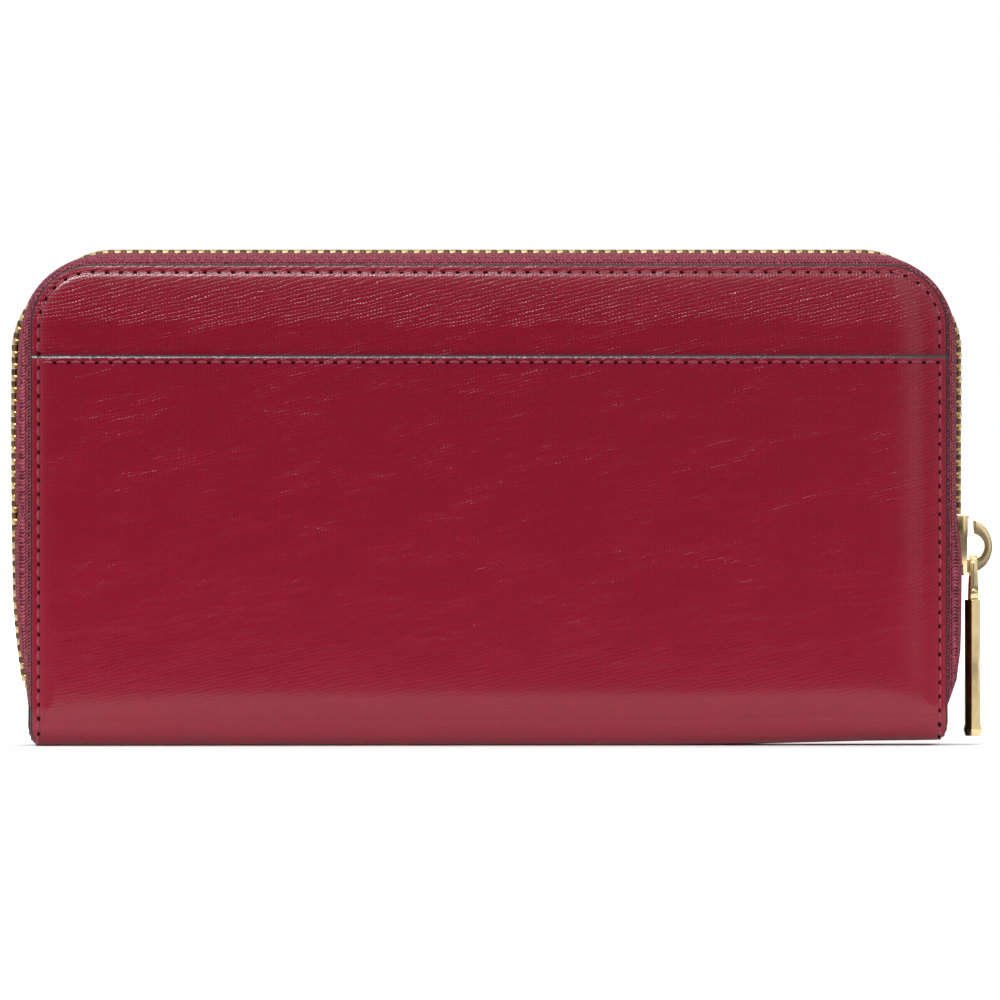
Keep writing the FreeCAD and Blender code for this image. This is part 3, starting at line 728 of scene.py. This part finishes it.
# the front row stands half a pitch further on, so that the two mesh
for name, side, body, shift in (("rearZipTeeth", -1, "rear_half", 0.0),
                                ("frontZipTeeth", 1, "front_half", zipRun["pitch"] / 2)):
    row = teethRow(name, side, shift)
    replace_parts(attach(row, body), body.replace("half", "teeth"))

# the stop that joins the two rows at the left foot, tucked between the tapes
footStop = block("zipFootStop", (-95.15, -0.75, 11.7), (-94.4, 0.75, 13.2))
smooth(dress(softEdges(footStop, 0.25, 2), finishes["teeth"]), 35)
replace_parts(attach(footStop, "core"), "bottom_stop")
print("zip made")


stitch = {"pitch": 2.88, "long": 2.3, "wide": 0.5, "high": 0.42, "arch": 0.2, "inset": 1.75, "mouthDrop": 1.7,
          "holeLong": 1.1, "holeWide": 0.66, "holeDeep": 0.26, "foot": 1.3}


def oneStitch():
    # a thread along X, bowed towards Z, on a face that looks along -Y, and after it a near-black blob of
    # painted shade standing in for the needle hole
    bpy.ops.mesh.primitive_uv_sphere_add(segments=8, ring_count=6, radius=0.5)
    thread = bpy.context.object
    thread.rotation_euler = (0, math.radians(90), 0)
    thread.scale = (stitch["wide"] * mm, stitch["high"] * mm, stitch["long"] * mm)
    settle(thread)
    edit(thread)
    for share, bow in ((0.0, 1.0), (0.25, 0.75), (0.433, 0.25)):
        choose(thread, "VERT", lambda p: abs(abs(p.x) - share * stitch["long"]) < 0.05)
        slide(z=stitch["arch"] * bow)
    done(thread)
    smooth(dress(thread, finishes["thread"], finishes["hole"]), 80)
    # the needle hole as a small near-black blob, a painted shade
    bpy.ops.mesh.primitive_ico_sphere_add(subdivisions=2, radius=0.5)
    hole = bpy.context.object
    hole.scale = (stitch["holeLong"] * mm, stitch["holeDeep"] * mm, stitch["holeWide"] * mm)
    hole.location = (stitch["pitch"] / 2 * mm, 0.02 * mm, 0)
    settle(hole)
    dress(hole, finishes["hole"])
    return joined("stitch", [thread, hole])


def stitchRow(name, places, side, *skins):
    # each place is (x, z, the seam's direction in the XZ plane); the stitches lie on the first skin met
    unit = oneStitch()
    copies = []
    for x, z, angle in places:
        start = Vector((x, side * 30, z)) * mm
        hits = [skin.ray_cast(start, Vector((0, -side, 0))) for skin in skins]
        hits = [(spot, normal) for found, spot, normal, _ in hits if found]
        if not hits:
            continue
        spot, normal = min(hits, key=lambda hit: (hit[0] - start).length)
        run = Vector((-side * math.cos(angle), 0, -side * math.sin(angle)))
        run = (run - normal * run.dot(normal)).normalized()
        turn = Matrix((run, -normal, run.cross(-normal))).transposed().to_4x4()
        copies.append(copyOf(unit, Matrix.Translation(spot) @ turn))
    bpy.data.objects.remove(unit)
    return settle(joined(name, copies))


def edgeSeam(low):
    # stitch places round the cover's edge, from the foot of the left side to the foot of the right
    inset = stitch["inset"]
    half, crest, corner = wallet["half"] - inset, wallet["tall"] - inset, wallet["corner"] - inset
    places = []
    distance = low
    while True:
        x, z, angle = outlineSpot(distance, half, crest, corner)
        if x > 0 and z < low:
            return places
        places.append((x, z, angle - math.pi / 2))
        distance += stitch["pitch"]


def mouthSeam():
    height = wallet["mouth"] - stitch["mouthDrop"]
    count = int(2 * (wallet["half"] - 3.4) / stitch["pitch"])
    return [((number - count / 2) * stitch["pitch"], height, 0.0) for number in range(count + 1)]


backSeam = [place for place in edgeSeam(stitch["foot"]) if place[1] > wallet["mouth"] + 0.6]
pocketSeam = [place for place in edgeSeam(stitch["foot"]) if place[1] < wallet["mouth"] - 0.4]
backThread = stitchRow("rearBackStitching", backSeam, -1, rearBack)
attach(backThread, "rear_half")
for name, places, skin, body, side in (
        ("rearPocketStitching", pocketSeam + mouthSeam(), rearPocket, "rear_half", -1),
        ("frontStitching", edgeSeam(stitch["foot"]), frontSkin, "front_half", 1)):
    row = stitchRow(name, places, side, skin)
    bendAtSpine(row, side)
print("stitching made")


# the main slider: its outer face, its two side lips, and where it narrows towards the tail
sliderLow, sliderHigh = (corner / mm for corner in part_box("slider_body"))
slider = {"face": 98.65, "lipFoot": 96.45, "plate": 0.9, "lip": 0.85, "lidHigh": 0.75, "lidInset": 0.25,
          "lidSide": 1.25, "waist": 3.2, "shoulder": 7.6, "inner": 0.5}


def sliderBody():
    low, high, half = sliderLow.z, sliderHigh.z, sliderHigh.y
    face, waist, shoulder = slider["face"], low + slider["waist"], low + slider["shoulder"]
    plate = block("outerPlate", (face - slider["plate"], -half, low), (face, half, high))
    edit(plate)
    cutRows((waist, shoulder))
    choose(plate, "VERT", lambda p: p.z < low + 0.1)
    swell(y=0.72)
    choose(plate, "VERT", lambda p: abs(p.z - waist) < 0.1)
    swell(y=0.86)
    # the two lips, full at the shoulders and low towards the tail
    for hand in (-1, 1):
        cut((0, hand * (half - slider["lip"]), 0), (0, 1, 0))
    choose(plate, "FACE", lambda p: (p.x < face - slider["plate"] + 0.01
                                     and abs(p.y) > half - slider["lip"] - 0.6))
    extrude(x=slider["lipFoot"] + slider["plate"] - face)
    for height, share in ((low, 0.25), (waist, 0.45), (shoulder, 0.8)):
        choose(plate, "VERT", lambda p: p.x < slider["lipFoot"] + 0.05 and abs(p.z - height) < 0.05)
        swell(x=share, about=(face - slider["plate"], 0, 0))
    done(plate)
    softEdges(plate, 0.3, 3)
    # the lid leaves the throat open for the teeth
    lidLow = high - slider["lidHigh"]
    lidHalf = half - slider["lidInset"]
    lids = [block("sliderLid", (face - 0.8, -lidHalf, lidLow), (face + 0.35, lidHalf, high))]
    for start in (-lidHalf, lidHalf - slider["lidSide"]):
        lids.append(block("lidSide", (slider["lipFoot"] - 0.1, start, lidLow),
                          (face - 0.45, start + slider["lidSide"], high)))
    for lid in lids:
        softEdges(lid, 0.2, 2)
    drum = block("sliderDrum", (face - 0.4, -half + 0.9, high - 4.6), (face + 0.22, half - 0.9, high - 0.3))
    softEdges(drum, 0.3, 3)
    inner = block("innerPlate", (sliderLow.x, -half + 0.6, low + 0.8),
                  (sliderLow.x + slider["inner"], half - 0.6, high - 0.2))
    softEdges(inner, 0.2, 3)
    post = block("sliderPost", (sliderLow.x + 0.3, -0.55, high - 6.2), (face - 0.3, 0.55, high - 0.3))
    softEdges(post, 0.2, 2)
    return smooth(dress(joined("zipSliderBody", [plate, drum, inner, post, *lids]), finishes["gold"]), 35)


hook = {"x": 99.25, "z": 40.8, "outX": 4.75, "outZ": 5.5, "inX": 3.1, "inZ": 2.7, "half": 1.0, "cutX": 100.05,
        "round": 0.7, "rootLow": 35.5, "rootHigh": 38.0, "rootHalf": 0.9}


def sliderHook():
    # an oval ring standing on the plate, its upper rear quarter cut away
    rings = []
    for wide, tall in ((hook["outX"], hook["outZ"]), (hook["inX"], hook["inZ"])):
        bpy.ops.mesh.primitive_circle_add(vertices=64, radius=1)
        ring = bpy.context.object
        ring.rotation_euler = (math.radians(90), 0, 0)
        ring.scale = (wide * mm, tall * mm, 1)
        ring.location = (hook["x"] * mm, -hook["half"] * mm, hook["z"] * mm)
        rings.append(settle(ring))
    piece = joined("zipSliderHook", rings)
    edit(piece)
    chooseAll()
    bpy.ops.mesh.bridge_edge_loops()
    for at, normal in (((hook["cutX"], 0, 0), (1, 0, 0)), ((0, 0, hook["z"]), (0, 0, 1)),
                       ((slider["face"] - 0.1, 0, 0), (1, 0, 0))):
        cut(at, normal)
    choose(piece, "FACE", lambda p: (p.x < hook["cutX"] and p.z > hook["z"]) or p.x < slider["face"] - 0.1
           or (p.x < hook["x"] + 0.1 and p.z > hook["z"] - hook["inZ"]))
    bpy.ops.mesh.delete(type="FACE")
    chooseAll()
    extrude(y=2 * hook["half"])
    faceOutwards()
    done(piece)
    softEdges(piece, hook["round"], 4, 50)
    # the foot that joins the ring to the plate
    root = block("hookFoot", (slider["face"] - 0.3, -hook["rootHalf"], hook["rootLow"]),
                 (hook["x"] + 0.9, hook["rootHalf"], hook["rootHigh"]))
    softEdges(root, 0.3, 2)
    return smooth(dress(joined("zipSliderHook", [piece, root]), finishes["gold"]), 40)


for piece, node in ((sliderBody(), "slider_body"), (sliderHook(), "slider_hook")):
    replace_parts(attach(piece, "slider"), node)
print("slider made")


# the pull: a strap over the hook, a rivet, and a long bar
# legFlare gives how much of the flare the strap's legs have by each height
# chamfers are (side of the bar along X, width, depth): the one towards the wallet is the broad one
pull = {"x": 100.1, "legTop": 37.3, "legFoot": 30.1, "bend": 1.5, "sheet": 0.6, "topHalf": 0.78,
        "footHalf": 1.12, "bow": 0.2, "legFlare": ((33.0, 0.62), (35.2, 0.26)), "pinZ": 31.4, "pin": 0.48,
        "rivet": 0.68, "barX": 99.95, "barLow": 1.8, "barHigh": 29.8, "barHalf": 1.55, "barDeep": 2.3,
        "barBow": 0.5, "chamfers": ((-1, 0.95, 1.0), (1, 0.5, 0.5)), "barRows": (1.3, 2.3, 14.2)}


def pullStrap():
    # one strip bent over the hook's lower arm, its two legs flaring towards the rivet
    x, half = pull["x"], pull["topHalf"]
    piece = block("pullStrap", (x - half, -pull["bend"] - pull["sheet"] / 2, pull["legFoot"]),
                  (x + half, -pull["bend"] + pull["sheet"] / 2, pull["legTop"]))
    edit(piece)
    choose(piece, "FACE", lambda p: p.z > pull["legTop"] - 0.01)
    steps = 10
    for _ in range(steps):
        extrude()
        bpy.ops.transform.rotate(value=math.radians(180 / steps), orient_axis="X",
                                 center_override=(0, 0, pull["legTop"] * mm))
    extrude(z=pull["legFoot"] - pull["legTop"])
    cut((x, 0, 0), (1, 0, 0))
    for face in (-1, 1):
        choose(piece, "VERT", lambda p: abs(p.x - x) < 0.01 and p.y * face > pull["bend"])
        slide(y=face * pull["bow"])
    for height, _ in pull["legFlare"]:
        cut((0, 0, height), (0, 0, 1))
    for height, share in ((pull["legFoot"], 1.0), *pull["legFlare"]):
        choose(piece, "VERT", lambda p: abs(p.z - height) < 0.05)
        swell(x=1 + share * (pull["footHalf"] / half - 1), about=(x, 0, 0))
    faceOutwards()
    done(piece)
    return smooth(dress(softEdges(piece, 0.2, 2, 40), finishes["gold"]), 40)


def roundBar(name, radius, spotX, spotZ, fromY, toY, bevel):
    bpy.ops.mesh.primitive_cylinder_add(vertices=24, radius=radius * mm, depth=(toY - fromY) * mm,
                                        location=(spotX * mm, (fromY + toY) / 2 * mm, spotZ * mm),
                                        rotation=(math.radians(90), 0, 0))
    piece = bpy.context.object
    piece.name = name
    settle(piece)
    return softEdges(piece, bevel, 2, 50)


def pullRivet():
    reach = pull["bend"] + pull["sheet"] / 2
    parts = [roundBar("pin", pull["pin"], pull["x"] + 0.05, pull["pinZ"], -reach - 0.05, reach + 0.05, 0.05)]
    for hand in (-1, 1):
        ends = sorted((hand * (reach - 0.02), hand * (reach + 0.26)))
        parts.append(roundBar("rivetHead", pull["rivet"], pull["x"] + 0.05, pull["pinZ"], *ends, 0.14))
    return smooth(dress(joined("pullRivet", parts), finishes["gold"]), 40)


def pullBar():
    # a long bar with a broad chamfer towards the wallet, a bowed face and a flared round foot
    x, low, high, half, thick = [pull[key] for key in ("barX", "barLow", "barHigh", "barHalf", "barDeep")]
    bar = block("pullBar", (x - half, -thick, low), (x + half, thick, high))
    edit(bar)
    for hand, wide, deep in pull["chamfers"]:
        for face in (-1, 1):
            cut((x + hand * (half - wide), 0, 0), (1, 0, 0))
            cut((0, face * (thick - deep), 0), (0, 1, 0))
    for hand, wide, deep in pull["chamfers"]:
        choose(bar, "VERT", lambda p: hand * (p.x - x) > half - 0.05 and abs(p.y) > thick - 0.05)
        swell(y=(thick - deep) / thick)
    chooseAll()
    bpy.ops.mesh.remove_doubles(threshold=0.002 * mm)
    bpy.ops.mesh.dissolve_degenerate(threshold=0.002 * mm)
    crest = x - 0.35
    cut((crest, 0, 0), (1, 0, 0))
    for face in (-1, 1):
        choose(bar, "VERT", lambda p: abs(p.x - crest) < 0.01 and p.y * face > thick - 0.1)
        slide(y=face * pull["barBow"])
    for height in pull["barRows"]:
        cut((0, 0, low + height), (0, 0, 1))
    choose(bar, "VERT", lambda p: p.z < low + pull["barRows"][0] + 0.1)
    swell(x=1.16, y=1.03, about=(x, 0, 0))
    choose(bar, "VERT", lambda p: p.z < low + 0.1)
    swell(x=0.8, y=0.9, about=(x, 0, 0))
    dress(bar, finishes["gold"], finishes["paintedShadeGold"])
    # the faces towards the wallet get a painted shade: darker gold standing in for the dark wallet they
    # mirror
    paint(bar, 1, lambda p: p.x < x - 0.75)
    done(bar)
    softEdges(bar, 0.3, 4, 12)
    tongue = block("barTongue", (x - 0.95, -1.0, high - 1.0), (x + 1.25, 1.0, pull["pinZ"] + 1.1))
    dress(softEdges(tongue, 0.5, 3), finishes["gold"])
    return smooth(joined("pullBar", [bar, tongue]), 50)


for piece, body, node in ((pullStrap(), "pull_link", "link_strap"), (pullRivet(), "pull_link", "link_pin"),
                          (pullBar(), "pull_bar", "pull_bar")):
    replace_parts(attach(piece, body), node)
print("pull made")


# the inside: linings, three card rows on each cover, the front's padding, the spine's board and lining
inside = {"half": 92.0, "low": 4.6, "high": 96.7, "round": 10.7, "near": 9.12, "far": 9.6, "cardHalf": 88.0,
          "cardLow": 5.2, "cardTops": (84.0, 68.0, 52.0), "level": 9.1, "sheet": 0.6, "seam": 0.14,
          "seamHalf": 0.9, "hem": 0.12, "hemHigh": 2.6, "hemLine": 2.2, "padNear": 10.12, "padFar": 11.0,
          "padInset": 0.7, "spineHalf": 91.3, "spineDeep": 9.6}


def softSheet(name, side, near, far, half, low, high, corner, edge):
    # an upright sheet between two levels, with round top corners and soft edges
    piece = uprightSheet(name, 2 * half, low, high, min(side * near, side * far))
    edit(piece)
    if corner:
        roundCorners(piece, high, corner, 10)
    chooseAll()
    extrude(y=abs(far - near))
    faceOutwards()
    done(piece)
    return softEdges(piece, edge, 3, 50)


for side, body, hand in ((-1, "rear_half", "rear"), (1, "front_half", "front")):
    lining = softSheet(hand + "Lining", side, inside["near"], inside["far"], inside["half"], inside["low"],
                       inside["high"], inside["round"], 0.15)
    smooth(dress(lining, finishes["lining"]))
    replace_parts(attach(lining, body), hand + "_lining")
    seams = []
    for row, top in enumerate(inside["cardTops"]):
        far = inside["level"] - inside["sheet"] * row
        near = far - inside["sheet"]
        panel = softSheet(f"{hand}CardRow{row + 1}", side, near + 0.02, far, inside["cardHalf"],
                          inside["cardLow"], top, 2.0, 0.24)
        edit(panel)
        # the middle seam that parts the row into two pockets, and a turned hem along its mouth
        cutColumns((-inside["seamHalf"], 0.0, inside["seamHalf"]))
        middle = far - inside["sheet"] / 2
        choose(panel, "VERT", lambda p: abs(p.x) < 0.1 and abs(p.y) < middle)
        slide(y=side * inside["seam"])
        for drop in (inside["hemHigh"], inside["hemLine"]):
            cut((0, 0, top - drop), (0, 0, 1))
        choose(panel, "VERT", lambda p: abs(p.z - top + inside["hemHigh"]) < 0.05 and abs(p.y) < middle)
        slide(y=side * inside["hem"])
        done(panel)
        smooth(dress(panel, finishes["cards"]))
        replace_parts(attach(panel, body), f"{hand}_card_row_{row + 1}")
        seams.append(panel)
    low = inside["cardLow"] + 3
    places = [(0.0, low + number * stitch["pitch"], math.pi / 2)
              for number in range(int((inside["cardTops"][0] - low - 4) / stitch["pitch"]))]
    for number in range(int(2 * (inside["cardHalf"] - 2) / stitch["pitch"])):
        places.append((2 - inside["cardHalf"] + number * stitch["pitch"], inside["cardTops"][2] - 1.5, 0.0))
    row = stitchRow(hand + "CardStitching", places, -side, *seams)
    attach(row, body)
    dress(nodes[hand + "_board"], finishes["board"])

padHalf, padHigh, padRound = [wallet[key] - inside["padInset"] for key in ("half", "tall", "corner")]
padding = softSheet("frontPadding", 1, inside["padNear"], inside["padFar"], padHalf, inside["low"], padHigh,
                    padRound, 0.3)
smooth(dress(padding, finishes["foam"]))
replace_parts(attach(padding, "front_half"), "front_padding")
stiffener = block("spineBoard", (-90.3, -7.6, 1.0), (88.0, 7.6, 1.95))
smooth(dress(softEdges(stiffener, 0.25, 2), finishes["board"]))
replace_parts(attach(stiffener, "core"), "spine_board")
spineCloth = block("spineLining", (-inside["spineHalf"], -inside["spineDeep"], 2.02),
                   (inside["spineHalf"], inside["spineDeep"], 2.5))
smooth(dress(softEdges(spineCloth, 0.2, 2), finishes["lining"]))
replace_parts(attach(spineCloth, "core"), "spine_lining")
print("inside made")


# the coin pocket: two walls, bound sides, and a small zip along its top whose slider rests at x
coin = {"half": 87.0, "low": 2.6, "high": 84.0, "near": 2.2, "far": 2.7, "tapeHalf": 80.0, "tapeNear": 1.75,
        "tapeFar": 2.15, "tapeLow": 78.0, "tapeHigh": 85.5, "tapeRise": 0.4, "tapeFold": 1.15,
        "seamDrop": 2.2, "bound": (87.05, 87.6), "x": -75.0, "ringZ": 88.1, "ring": 1.4, "wire": 0.3,
        "tabHole": (0.5, 2.6)}

for side, hand in ((-1, "rear"), (1, "front")):
    wall = softSheet("coinWall" + hand.title(), side, coin["near"], coin["far"], coin["half"], coin["low"],
                     coin["high"], 0, 0.2)
    smooth(dress(wall, finishes["lining"]))
    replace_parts(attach(wall, "core"), "coin_wall_" + hand)
    tape = softSheet("coinTape" + hand.title(), side, coin["tapeNear"], coin["tapeFar"], coin["tapeHalf"],
                     coin["tapeLow"], coin["tapeHigh"], 0, 0.1)
    edit(tape)
    choose(tape, "FACE", lambda p: p.z > coin["tapeHigh"] - 0.1)
    extrude(z=coin["tapeRise"])
    choose(tape, "FACE", lambda p: abs(p.y) < 1.8 and 85.45 < p.z < 85.89)
    extrude(y=-side * coin["tapeFold"])
    done(tape)
    mapAlongTape(tape)
    smooth(dress(softEdges(tape, 0.06, 1, 60), finishes["coinTape"]))
    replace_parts(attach(tape, "core"), "coin_tape_" + hand)
    places = [(-coin["half"] + 3 + number * stitch["pitch"], coin["high"] - coin["seamDrop"], 0.0)
              for number in range(int(2 * (coin["half"] - 3) / stitch["pitch"]))]
    row = stitchRow("coinStitching" + hand.title(), places, side, wall)
    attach(row, "core")
for hand, side in (("left", -1), ("right", 1)):
    ends = sorted(side * reach for reach in coin["bound"])
    binding = block("coinBinding" + hand.title(), (ends[0], -coin["far"], coin["low"]),
                    (ends[1], coin["far"], coin["high"]))
    smooth(dress(softEdges(binding, 0.22, 3), finishes["cards"]))
    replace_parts(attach(binding, "core"), "coin_binding_" + hand)


def coinSlider():
    x = coin["x"]
    parts = [block("coinTopPlate", (x - 3.5, -2.2, 86.5), (x + 3.5, 2.2, 87.2)),
             block("coinLowPlate", (x - 3.3, -1.4, 84.1), (x + 3.3, 1.4, 84.8)),
             block("coinPost", (x - 0.7, -0.27, 84.4), (x + 0.7, 0.27, 86.8))]
    edit(parts[0])
    choose(parts[0], "VERT", lambda p: p.x > x + 3.4)
    swell(y=0.62)
    done(parts[0])
    for part in parts:
        softEdges(part, 0.22 if part != parts[2] else 0.08, 2)
    return smooth(dress(joined("coinSliderBody", parts), finishes["gold"]), 35)


def coinBail():
    bpy.ops.mesh.primitive_torus_add(major_segments=32, minor_segments=10, major_radius=coin["ring"] * mm,
                                     minor_radius=coin["wire"] * mm, rotation=(math.radians(90), 0, 0),
                                     location=(coin["x"] * mm, 0, coin["ringZ"] * mm))
    bail = settle(bpy.context.object)
    edit(bail)
    cut((0, 0, coin["ringZ"]), (0, 0, 1), clearInner=True)
    choose(bail, "EDGE", lambda p: p.z < coin["ringZ"] + 0.01)
    extrude(z=-1.0)
    bpy.ops.mesh.edge_face_add()
    done(bail)
    bail.name = "coinSliderBail"
    return smooth(dress(bail, finishes["gold"]), 40)


def coinTab():
    x = coin["x"]
    holeFrom, holeTo = (x + reach for reach in coin["tabHole"])
    tab = block("coinPullTab", (x - 0.5, -1.8, coin["ringZ"] - 0.4), (x + 11.0, 1.8, coin["ringZ"] + 0.4))
    edit(tab)
    cutColumns((holeFrom, holeTo))
    for at in (-0.9, 0.9):
        cut((0, at, 0), (0, 1, 0))
    choose(tab, "FACE", lambda p: (holeFrom < p.x < holeTo and abs(p.y) < 0.8
                                   and abs(p.z - coin["ringZ"]) > 0.3))
    bpy.ops.mesh.bridge_edge_loops()
    choose(tab, "VERT", lambda p: p.x > x + 10)
    swell(y=0.8)
    done(tab)
    return smooth(dress(softEdges(tab, 0.16, 2, 50), finishes["gold"]), 40)


for piece, body, node in ((coinSlider(), "coin_slider", "coin_slider_body"),
                          (coinBail(), "coin_slider", "coin_slider_bail"),
                          (coinTab(), "coin_pull", "coin_pull_tab")):
    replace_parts(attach(piece, body), node)
for node in ("coin_teeth", "coin_stops", "rear_top_stop", "front_top_stop"):
    dress(nodes[node], finishes["teeth"])
print("coin pocket made")


# the gussets: how deep their fold is at the foot and at the top, and the strip that they are cut from
gusset = {"low": 4.5, "high": 78.0, "x": -89.95, "wide": 2.1, "lowFold": 4.0, "highFold": 17.0, "fold": 0.8,
          "rows": (20.0, 35.0, 50.0, 65.0), "thick": 0.3, "flatWide": 33.0, "meanWide": 25.0}


def foldedGusset(name):
    # a sheet with one inward fold, deeper at the top, drawn for the rear left and mirrored for the others
    low, high = gusset["low"], gusset["high"]
    piece = uprightSheet(name, gusset["wide"], low, high, -8.8, x=gusset["x"])
    edit(piece)
    choose(piece, "VERT", lambda p: p.x > -89)
    slide(y=1.8)
    choose(piece, "EDGE", lambda p: p.x > -89)
    extrude(x=gusset["lowFold"], y=2.0)
    choose(piece, "VERT", lambda p: p.x > -86 and p.z > high - 1)
    slide(x=gusset["highFold"] - gusset["lowFold"])
    choose(piece, "EDGE", lambda p: p.x > -80 and abs(p.y + 5.0) < 0.05)
    extrude(x=-1.9, y=2.0)
    choose(piece, "VERT", lambda p: p.y > -3.1 and p.z > high - 1)
    slide(x=gusset["lowFold"] - gusset["highFold"])
    choose(piece, "EDGE", lambda p: abs(p.z - (low + high) / 2) < 2 and -7.1 < p.y < -4.9)
    bpy.ops.mesh.bevel(offset=gusset["fold"] * mm, segments=4, affect="EDGES")
    cutRows(gusset["rows"])
    done(piece)
    return finishWith(piece, "SOLIDIFY", thickness=gusset["thick"] * mm, offset=0)


for end, flipX in (("Left", 1), ("Right", -1)):
    for hand, flipY, body in (("rear", 1, "rear_half"), ("front", -1, "front_half")):
        piece = foldedGusset(hand + "Gusset" + end)
        piece.scale = (flipX, flipY, 1)
        settle(piece)
        edit(piece)
        faceOutwards()
        done(piece)
        smooth(dress(piece, finishes["lining"]), 60)
        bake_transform(piece)
        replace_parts(piece, f"gusset_{hand}_{end.lower()}")
print("gussets made")


# the camera stands a distance in metres from a place in millimetres
# the floor darkens in front of the wallet, and the air straight ahead is dark, so that the leather mirrors
# a dark foreground; far off, the floor fades to white as seen by the camera
# softboxes are (name, place and aim in metres, width, height, power)
studio = {"aim": (2.16, -12.8, 50.5), "azimuth": -2.0, "height": 0.6, "distance": 6.0, "frameWide": 205.3,
          "sensor": 36.0, "floor": 16.0, "pale": (0.9, 0.9, 0.9), "paler": (0.93, 0.93, 0.93),
          "rightAir": (0.8, 0.8, 0.8), "darkFloor": (0.02, 0.02, 0.02), "darkAir": (0.012, 0.012, 0.012),
          "darkens": (100.0, 108.0), "fades": (500.0, 1500.0), "ahead": (0.93, 0.978), "right": (0.1, 0.8)}
softboxes = (("topStrip", (-0.42, -1.38, 0.78), (0, 0, 0.06), 1.0, 0.2, 12),
             ("keyBox", (-0.8, -0.9, 1.1), (0, 0, 0.06), 0.8, 0.6, 3),
             ("overheadBox", (0.1, 0.3, 1.3), (0, 0, 0), 1.6, 1.6, 11),
             ("rightStrip", (0.33, -1.56, 0.3), (0, 0, 0.05), 0.18, 0.6, 0.42))


def makeCamera():
    turn, lift = math.radians(studio["azimuth"]), math.radians(studio["height"])
    back = Vector((math.sin(turn) * math.cos(lift), -math.cos(turn) * math.cos(lift), math.sin(lift)))
    aim = Vector(studio["aim"]) * mm
    bpy.ops.object.camera_add(location=aim + back * studio["distance"])
    camera = bpy.context.object
    camera.rotation_euler = back.to_track_quat("Z", "Y").to_euler()
    camera.data.sensor_width = studio["sensor"]
    camera.data.lens = studio["sensor"] * studio["distance"] / (studio["frameWide"] * mm)
    camera.data.clip_end = 50
    bpy.context.scene.camera = camera


def softbox(name, place, aim, wide, tall, power):
    bpy.ops.object.light_add(type="AREA", location=place)
    lamp = bpy.context.object
    lamp.name = name
    lamp.data.shape = "RECTANGLE"
    lamp.data.size, lamp.data.size_y = wide, tall
    lamp.data.energy = power
    lamp.rotation_euler = (Vector(place) - Vector(aim)).to_track_quat("Z", "Y").to_euler()


def makeStudio():
    bpy.ops.mesh.primitive_grid_add(x_subdivisions=4, y_subdivisions=4, size=studio["floor"])
    floor = bpy.context.object
    floor.name = "paleFloor"
    pale = Recipe("paleFloor")
    x, y, _ = pale.split(pale.place())
    away = ((x * x + y * y) ** 0.5).ramp(*studio["fades"])
    dust = pale.noise(pale.vector(x, y), 0.01)
    seen = pale.node("ShaderNodeLightPath", None, None, "Is Camera Ray")
    lit = pale.mix(dust, studio["pale"], studio["paler"])
    ahead = (y * -1.0).ramp(*studio["darkens"]) * (1.0 - seen)
    pale.surface(colour=pale.mix(ahead, lit, studio["darkFloor"]), rough=0.7,
                 glow=pale.mix(away * seen, (0, 0, 0), (1, 1, 1)), glowStrength=1.0)
    dress(floor, pale.material)
    world = bpy.data.worlds.new("studioAir")
    bpy.context.scene.world = world
    air = Recipe("studioAir", world)
    x, y, _ = air.split(air.node("ShaderNodeTexCoord", None, None, "Generated"))
    front = (y * -1.0).ramp(*studio["ahead"])
    sides = air.mix(x.ramp(*studio["right"]), studio["pale"], studio["rightAir"])
    tent = air.mix(front, sides, studio["darkAir"])
    seen = air.node("ShaderNodeLightPath", None, None, "Is Camera Ray")
    air.feed(air.shader.inputs["Color"], air.mix(seen, tent, (1, 1, 1)))
    for box in softboxes:
        softbox(*box)
    bpy.context.scene.view_settings.view_transform = "Standard"


makeCamera()
makeStudio()
print("studio made")
